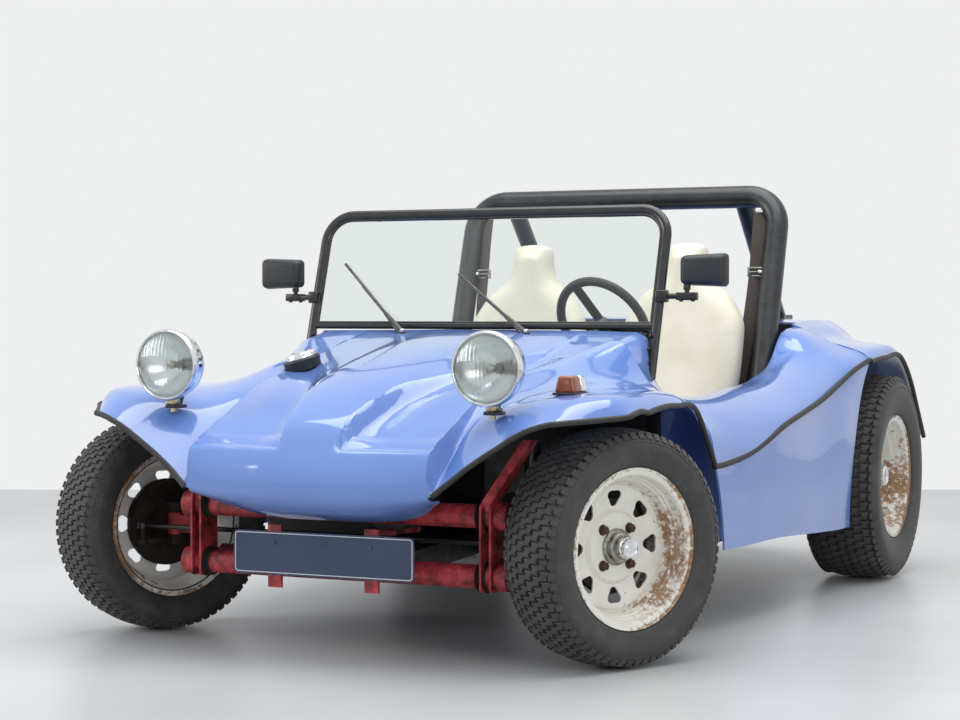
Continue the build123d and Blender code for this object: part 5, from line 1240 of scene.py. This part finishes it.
def headlamps():
    """Round bowl lamps on studs: chromed bowl, rolled rim, fluted glass, reflector, and a shielded bulb."""
    bowl = turned([(-0.006, 0.0905), (-0.006, 0.0962), (-0.012, 0.0968), (-0.016, 0.0950), (-0.030, 0.0932),
                   (-0.052, 0.0868), (-0.074, 0.0745), (-0.092, 0.0575), (-0.106, 0.0340), (-0.112, 0.0140),
                   (-0.1125, 0.0), (-0.108, 0.0), (-0.098, 0.040), (-0.070, 0.072), (-0.030, 0.0885),
                   (-0.006, 0.0905)], 96)
    rim = turned([(-0.010, 0.0900), (-0.010, 0.0968), (-0.004, 0.0970), (0.0035, 0.0958), (0.0075, 0.0930),
                  (0.0078, 0.0900), (0.0050, 0.0872), (0.0010, 0.0868), (-0.010, 0.0900)], 96)
    glass = turned([(0.0235, 0.0), (0.0232, 0.012), (0.0218, 0.030), (0.0188, 0.048), (0.0140, 0.065),
                    (0.0072, 0.080), (0.0020, 0.0882), (-0.0010, 0.0882), (0.0042, 0.078), (0.0108, 0.063),
                    (0.0156, 0.046), (0.0186, 0.029), (0.0200, 0.012), (0.0203, 0.0)], 96)
    dish = turned([(-0.004, 0.0868), (-0.012, 0.0850), (-0.030, 0.0730), (-0.048, 0.0560), (-0.062, 0.0380),
                   (-0.071, 0.0220), (-0.0745, 0.0120), (-0.0765, 0.0120), (-0.074, 0.0240), (-0.064, 0.0420),
                   (-0.048, 0.0600), (-0.028, 0.0780), (-0.010, 0.0868), (-0.004, 0.0868)], 96)
    bulb = turned([(-0.078, 0.0), (-0.078, 0.0105), (-0.066, 0.0105), (-0.064, 0.0075), (-0.050, 0.0080),
                   (-0.040, 0.0078), (-0.034, 0.0050), (-0.032, 0.0)], 32)
    shield = turned([(-0.040, 0.0090), (-0.030, 0.0100), (-0.022, 0.0095), (-0.0195, 0.0060), (-0.0190, 0.0),
                     (-0.0180, 0.0), (-0.0185, 0.0070), (-0.0215, 0.0108), (-0.030, 0.0113), (-0.040, 0.0102),
                     (-0.040, 0.0090)], 32)
    for piece in (bowl, rim, glass, dish, bulb, shield):
        outward(piece)
    studs, nuts, feet = [], [], []
    for side in (1, -1):
        x, y = side * LAMP_X, FRONT_Y - 0.262
        studs.append(bar((x, y, 0.640), (x, y, 0.690), 0.0085, 24))
        nut = bar((x, y, 0.661), (x, y, 0.676), 0.0165, 6, 0.0018)
        nuts.append(nut)
        nuts.append(bar((x + side * 0.016, y + 0.004, 0.664), (x + side * 0.027, y + 0.004, 0.664), 0.0045,
                        16, 0.001))
        feet.append(block(x - 0.020, x + 0.024, y - 0.016, y + 0.030, 0.650, 0.660, 0.004))
        feet.append(bar((x, y + 0.026, 0.654), (x, y + 0.050, 0.700), 0.0060, 16, 0.001))
    done(joined(studs + nuts), "lamp_studs", brass_nut, slot="bright_trim")
    done(joined(feet), "lamp_feet", abs_black, slot="black_plastic")
    for piece, name, finish, slot in ((bowl, "lamp_bowls", chrome, "bright_trim"),
                                      (rim, "lamp_rims", chrome, "bright_trim"),
                                      (glass, "lamp_glasses", lens, "screen_glass"),
                                      (dish, "lamp_reflectors", reflector, "bright_trim"),
                                      (joined([bulb, shield]), "lamp_bulbs", dull_metal, "bright_trim")):
        pair = joined([copy_of(piece, at_lamp(1)), copy_of(piece, at_lamp(-1))])
        done(pair, name, finish, slot=slot, angle=40, replaces=("headlamps",) if name == "lamp_bowls" else ())
        bpy.data.objects.remove(piece)


def indicators():
    """Wing-top indicators: amber lens to the front, bright cap behind, on a black gasket."""
    ambers, caps, gaskets = [], [], []
    for side in (1, -1):
        x, y = side * 0.620, FRONT_Y - 0.090
        low = 0.7035
        for made, y0, y1 in ((ambers, y - 0.045, y + 0.010), (caps, y + 0.0105, y + 0.044)):
            piece = block(x - 0.0295, x + 0.0295, y0, y1, low, 0.7475, 0)
            edit(piece, lambda face: face.normal.z > 0.5)
            bpy.ops.transform.resize(value=(0.74, 0.90, 1), center_override=(x, y + 0.004, 0.7475))
            leave()
            edges = piece.modifiers.new("edges", "BEVEL")
            edges.width = 0.0085
            edges.segments = 5
            settle(piece)
            made.append(piece)
        gaskets.append(block(x - 0.0325, x + 0.0325, y - 0.0485, y + 0.0475, low - 0.006, low + 0.0015,
                             0.003))
    done(joined(ambers), "indicator_lenses", amber, slot="amber_lens", replaces=("indicators_front",))
    done(joined(caps), "indicator_caps", chrome, slot="bright_trim")
    done(joined(gaskets), "indicator_gaskets", trim_rubber, slot="black_plastic")


def filler():
    """The fuel cap: a low spun chrome lid on a rubber ring, square to the hood's slope."""
    place = Matrix.Translation((-0.331, along(0.083), 0.772)) @ Matrix.Rotation(math.radians(-13), 4, "Y") \
        @ Matrix.Rotation(math.radians(11), 4, "X") @ Matrix.Rotation(-math.pi / 2, 4, "Y")
    lid = turned([(0.004, 0.0), (0.004, 0.0425), (0.010, 0.0430), (0.0125, 0.0410), (0.0200, 0.0395),
                  (0.0230, 0.0370), (0.0240, 0.0310), (0.0225, 0.0270), (0.0235, 0.0180), (0.0275, 0.0110),
                  (0.0285, 0.0)], 72, place)
    ring = turned([(-0.026, 0.0), (-0.026, 0.0500), (-0.003, 0.0530), (0.002, 0.0545), (0.0060, 0.0520),
                   (0.0075, 0.0470), (0.0070, 0.0400), (0.0070, 0.0)], 72, place)
    grips = []
    for i in range(12):
        a = math.tau * i / 12
        grip = bar((0.013, 0.0400 * math.cos(a), 0.0400 * math.sin(a)),
                   (0.0205, 0.0385 * math.cos(a), 0.0385 * math.sin(a)), 0.0030, 12, 0.001)
        grip.data.transform(place)
        grips.append(grip)
    done(joined([outward(lid)] + grips), "fuel_cap", chrome, slot="bright_trim", replaces=("fuel_filler",))
    done(outward(ring), "fuel_cap_ring", trim_rubber, slot="black_plastic")


def mirrors():
    """Trapezoid mirror heads on a stem, clamped to the screen's posts."""
    heads, glasses, arms = [], [], []
    for side in (1, -1):
        x, y, z = side * 0.702, -0.498, 1.031
        head = block(x - 0.073, x + 0.073, y - 0.024, y + 0.024, z - 0.051, z + 0.051, 0)
        edit(head, lambda face: face.normal.y < -0.5)
        bpy.ops.transform.resize(value=(0.90, 1, 0.86), center_override=(x, y - 0.024, z))
        leave()
        for vertex in head.data.vertices:
            if (vertex.co.x - x) * side < 0:
                vertex.co.z = z + (vertex.co.z - z) * 0.80 + (0.004 if vertex.co.z > z else -0.004)
        edges = head.modifiers.new("edges", "BEVEL")
        edges.width = 0.0145
        edges.segments = 6
        settle(head)
        edit(head, lambda face: face.normal.y > 0.9 and face.area > 0.004)
        bpy.ops.mesh.inset(thickness=0.005)
        bpy.ops.transform.translate(value=(0, -0.004, 0))
        leave()
        heads.append(head)
        glasses.append(block(x - side * 0.004 - 0.058, x - side * 0.004 + 0.058, y + 0.0205, y + 0.0225,
                             z - 0.036, z + 0.036, 0.0009))
        # stem, hinge block and clamp round the post
        root = on_screen(side * 0.578, 0.098, 0.002)
        knee = Vector((side * 0.652, y - 0.004, 0.9555))
        arms.append(bar((knee.x, knee.y, 0.958), (knee.x, knee.y, z - 0.044), 0.0068, 24, 0.001))
        arms.append(bar((knee.x, knee.y, z - 0.058), (knee.x, knee.y, z - 0.040), 0.0105, 24, 0.002))
        arms.append(block(knee.x - 0.032, knee.x + 0.032, knee.y - 0.011, knee.y + 0.011, 0.944, 0.967,
                          0.004))
        arms.append(bar((root.x, root.y, 0.956), (knee.x, knee.y, 0.956), 0.0082, 24, 0.002))
        arms.append(block(root.x - 0.016, root.x + 0.018, root.y - 0.017, root.y + 0.014, 0.938, 0.974,
                          0.005))
        for dx in (-0.018, 0.018):
            arms.append(bar((knee.x + dx, knee.y, 0.940), (knee.x + dx, knee.y, 0.946), 0.0062, 6, 0.001))
    done(joined(heads), "mirror_heads", abs_black, slot="black_plastic", replaces=("mirrors",))
    done(joined(glasses), "mirror_glasses", reflector, slot="bright_trim")
    done(joined(arms), "mirror_arms", sheet_black, slot="black_plastic")


def wipers():
    """Wiper arms on coned spindles, with sprung blades a little above the glass."""
    dark, nuts = [], []
    for pivot_x, tip_x, tip_up in ((-0.218, -0.478, 0.206), (0.192, -0.080, 0.170)):
        pivot = Vector((pivot_x, FRONT_Y + 0.580, 0.842))
        tip = on_screen(tip_x, tip_up, 0.020)
        run = tip - pivot
        lift = OUT_SCREEN * 0.010
        dark.append(bar(pivot + Vector((0, 0.004, -0.022)), pivot + Vector((0, -0.006, 0.010)), 0.0125, 32,
                        0.002, 0.0100))
        nuts.append(bar(pivot + Vector((0, -0.006, 0.010)), pivot + Vector((0, -0.009, 0.017)), 0.0072, 6,
                        0.0012))
        head_end = pivot + run * 0.17
        dark.append(bar(pivot, head_end, 0.0112, 20, 0.002, 0.0090))
        dark.append(bar(head_end, pivot + run * 0.30, 0.0086, 16, 0.001, 0.0066))
        dark.append(bar(pivot + run * 0.28, pivot + run * 0.66 + lift * 0.5, 0.0050, 12))
        start, end = pivot + run * 0.30 - lift * 0.4, pivot + run * 1.0 - lift * 0.4
        dark.append(bar(start, end, 0.0046, 10))
        dark.append(bar(start - lift * 0.5, end - lift * 0.5, 0.0032, 8, 0, 0.0026))
        for a, b in ((0.36, 0.52), (0.56, 0.72), (0.74, 0.90)):
            p, q = pivot + run * a - lift * 0.3, pivot + run * b - lift * 0.3
            top = (p + q) / 2 + lift * 0.6
            dark.append(bar(p, top, 0.0026, 8))
            dark.append(bar(top, q, 0.0026, 8))
        dark.append(bar(pivot + run * 0.45 + lift * 0.6, pivot + run * 0.82 + lift * 0.6, 0.0030, 10))
    done(joined(dark), "wiper_arms_and_blades", sheet_black, slot="black_plastic", angle=50,
         replaces=("wipers",))
    done(joined(nuts), "wiper_nuts", chrome, slot="bright_trim")
    jet = bar((0, FRONT_Y + 0.438, 0.782), (0, FRONT_Y + 0.434, 0.8085), 0.0065, 24, 0.002, 0.0045)
    ring = bar((0, FRONT_Y + 0.438, 0.790), (0, FRONT_Y + 0.437, 0.7995), 0.0105, 24, 0.002)
    done(joined([jet, ring]), "washer_jet", dull_metal, slot="bright_trim")


def plate():
    """The blank plate: enamelled sheet with rounded corners and a thin pale line inside its edge."""
    y = FRONT_Y - 0.290
    board = block(-0.270, 0.270, y - 0.0012, y + 0.0012, 0.2175, 0.3325, 0)
    edges = board.modifiers.new("corners", "BEVEL")
    edges.width = 0.012
    edges.segments = 6
    edges.limit_method = "WEIGHT"
    weights = board.data.attributes.new("bevel_weight_edge", "FLOAT", "EDGE")
    for i, edge in enumerate(board.data.edges):
        a, b = (board.data.vertices[v].co for v in edge.vertices)
        weights.data[i].value = 1.0 if abs(a.y - b.y) > 0.001 else 0.0
    settle(board)
    done(board, "blank_plate", plate_blue, slot="plate_paint", replaces=("number_plate",))
    x0, z0, z1, r = 0.2645, 0.2230, 0.3270, 0.008
    loop = []
    for cx, cz, start in ((x0 - r, z1 - r, 0), (-x0 + r, z1 - r, 90), (-x0 + r, z0 + r, 180),
                          (x0 - r, z0 + r, 270)):
        for i in range(7):
            a = math.radians(start + 15 * i)
            loop.append(Vector((cx + r * math.cos(a), y - 0.0012, cz + r * math.sin(a))))
    line = wire(loop, 0.0011, closed=True, resolution=2, smooth=False)
    done(line, "plate_line", plate_white, slot="plate_paint")
    bolts = [bar((s * 0.145, y - 0.0005, 0.302), (s * 0.145, y - 0.0045, 0.302), 0.0060, 24, 0.0016, 0.0050)
             for s in (-1, 1)]
    done(joined(bolts), "plate_bolts", plate_blue, slot="plate_paint")


def hoop_dressing():
    """Stitched joins of the padded sleeve, and the anchor bolts of the belts."""
    rise = Vector((0, math.sin(HOOP_LEAN), math.cos(HOOP_LEAN)))
    seams, bolts = [], []

    def collar(place, way):
        ring = turned([(-0.0020, 0.0372), (-0.0008, 0.0386), (0.0008, 0.0386), (0.0020, 0.0372)], 64)
        ring.data.transform(way.to_track_quat("X", "Z").to_matrix().to_4x4())
        ring.data.transform(Matrix.Translation(place))
        return ring

    def leg(side, z):
        return Vector((side * HOOP_HALF, along(HOOP_FOOT) + (z - HOOP_FOOT_Z) * math.tan(HOOP_LEAN), z))

    for side in (1, -1):
        for z in (0.93, 1.158):
            seams.append(collar(leg(side, z), rise))
        spot = leg(side, 1.045) + Vector((-side * 0.034, -0.012, 0))
        bolts.append(bar(spot, spot + Vector((-side * 0.012, -0.004, 0)), 0.0085, 6, 0.0015))
    for x in (0.440, -0.440, 0.155, -0.175):
        seams.append(collar(Vector((x, leg(1, HOOP_TOP).y, HOOP_TOP)), Vector((1, 0, 0))))
    done(joined(seams), "hoop_sleeve_seams", hoop_vinyl, slot="hoop_pad", angle=60)
    done(joined(bolts), "hoop_bolts", chrome, slot="bright_trim")


def strap(points, width, thick, facing):
    """Flat webbing along a line of points, facing one way."""
    line = refined([Vector(p) for p in points], 8)
    rows = []
    for i, p in enumerate(line):
        run = (line[min(i + 1, len(line) - 1)] - line[max(i - 1, 0)]).normalized()
        across = run.cross(Vector(facing)).normalized()
        rows.append([p + across * width * s for s in (-0.5, -0.25, 0.0, 0.25, 0.5)])
    obj = sheeted(rows)
    wall = obj.modifiers.new("thickness", "SOLIDIFY")
    wall.thickness = thick
    wall.offset = 0
    return settle(obj)


def belts():
    """Shoulder belts hung from the hoop's top corners, with their slide buckles and anchors."""
    webs, bright, pale = [], [], []
    for side in (1, -1):
        y0 = along(HOOP_FOOT)
        top = (side * 0.508, y0 + 0.176, 1.252)
        points = [top, (side * 0.507, y0 + 0.150, 1.16), (side * 0.506, y0 + 0.128, 1.05),
                  (side * 0.500, y0 + 0.090, 0.90), (side * 0.478, y0 + 0.055, 0.72),
                  (side * 0.452, y0 + 0.030, 0.52), (side * 0.440, y0 + 0.010, 0.36)]
        webs.append(strap(points, 0.046, 0.0016, (0.35 * side, -1, 0.2)))
        webs.append(strap([top, (side * 0.520, y0 + 0.160, 1.13), (side * 0.516, y0 + 0.132, 1.045)], 0.040,
                          0.0016, (0.35 * side, -1, 0.2)))
        # the slide buckle: two rails, a bar between them and two sides
        x, y, z = side * 0.506, y0 + 0.124, 1.045
        for low in (-0.016, 0.011):
            bright.append(block(x - 0.028, x + 0.028, y - 0.005, y + 0.003, z + low, z + low + 0.005, 0.0015))
        bright.append(block(x - 0.026, x + 0.026, y - 0.006, y + 0.002, z - 0.002, z + 0.002, 0.0010))
        for s in (x - 0.0255, x + 0.0255):
            bright.append(block(s - 0.0025, s + 0.0025, y - 0.005, y + 0.003, z - 0.016, z + 0.016, 0.0015))
        pale.append(block(top[0] - 0.018, top[0] + 0.022, top[1] - 0.008, top[1] + 0.004, 1.246, 1.262,
                          0.003))
    done(joined(webs), "belt_webbing", webbing, slot="black_plastic", angle=60)
    done(joined(bright), "belt_buckles", dull_metal, slot="bright_trim")
    done(joined(pale), "belt_anchors", plate_white, slot="bright_trim")


def boots():
    """Ribbed rubber seals where the trailing arms turn on the beam's ends, and the black brake backs."""
    ribs = []
    for side in (1, -1):
        for z in (0.385, 0.229):
            profile = [(0.402, 0.0325)]
            for i in range(6):
                x = 0.404 + 0.0045 * i
                profile += [(x, 0.0340 + 0.0006 * i), (x + 0.0015, 0.0385 + 0.0006 * i),
                            (x + 0.0030, 0.0340 + 0.0006 * i)]
            profile += [(0.4325, 0.0325)]
            ring = outward(turned(profile + [(0.417, 0.0318), profile[0]], 56))
            ring.data.transform(Matrix.Translation((0, FRONT_Y - 0.178, z)))
            ribs.append(ring if side > 0 else copy_of(ring, MIRROR))
            if side < 0:
                bpy.data.objects.remove(ring)
    done(joined(ribs), "beam_seals", boot_rubber, slot="black_plastic", angle=60)
    for side, hand in ((1, "left"), (-1, "right")):
        flip = Matrix.Identity(4) if side > 0 else Matrix.Rotation(math.pi, 4, "Z")
        place = Matrix.Translation((side * KINGPIN_X, FRONT_Y, FRONT_Z))
        place = place @ Matrix.Rotation(REST_TURN, 4, "Z") @ flip
        back = [(0.0340, 0.036), (0.0335, 0.060), (0.0325, 0.064), (0.0320, 0.100), (0.0335, 0.106),
                (0.0335, 0.1195), (0.0460, 0.1205), (0.0460, 0.1190), (0.0355, 0.1180), (0.0355, 0.036),
                (0.0340, 0.036)]
        shell = outward(turned(back, 80, place))
        done(shell, "brake_back_" + hand, cast_iron, "knuckle_" + hand, slot="black_paint", angle=40)


screen()
headlamps()
indicators()
filler()
mirrors()
wipers()
plate()
hoop_dressing()
belts()
boots()


def seats():
    """One-piece moulded seats, swelled by their foam: the solid is remeshed, eased, blown up and smoothed."""
    pad = bpy.data.objects.new("seat_pad", nodes["seat_left"].data.copy())
    bpy.context.scene.collection.objects.link(pad)
    pad.data.materials.clear()
    edit(pad)
    bpy.ops.mesh.remove_doubles(threshold=0.0001)
    bpy.ops.mesh.normals_make_consistent(inside=False)
    leave()
    pad.data.remesh_voxel_size = 0.009
    only(pad)
    bpy.ops.object.voxel_remesh()
    eased = pad.modifiers.new("eased", "SMOOTH")
    eased.factor = 0.5
    eased.iterations = 110
    slim = pad.modifiers.new("slim", "DISPLACE")
    slim.strength = -0.004
    slim.mid_level = 0
    settle(pad)
    before = [vertex.co.copy() for vertex in pad.data.vertices]
    cloth = pad.modifiers.new("foam", "CLOTH")
    cloth.settings.use_pressure = True
    cloth.settings.uniform_pressure_force = 4
    cloth.settings.effector_weights.gravity = 0
    cloth.settings.quality = 4
    cloth.point_cache.frame_start = 1
    cloth.point_cache.frame_end = 20
    for frame_number in range(1, 21):
        bpy.context.scene.frame_set(frame_number)
    settle(pad)
    bpy.context.scene.frame_set(1)
    for vertex, old in zip(pad.data.vertices, before):
        shift = vertex.co - old
        if shift.length > 0.010:
            vertex.co = old + shift * (0.010 / shift.length)
    eased = pad.modifiers.new("eased", "SMOOTH")
    eased.factor = 0.5
    eased.iterations = 4
    finer = pad.modifiers.new("finer", "SUBSURF")
    finer.levels = 1
    finer.render_levels = 1
    settle(pad)
    twin = copy_of(pad, Matrix.Translation((-SEAT_STEP, 0, 0)))
    for obj, hand in ((pad, "left"), (twin, "right")):
        done(obj, "seat_pad_" + hand, ivory, slot="seat_vinyl", angle=0, replaces=("seat_" + hand,))
        only(obj)
        bpy.ops.object.shade_smooth()


seats()
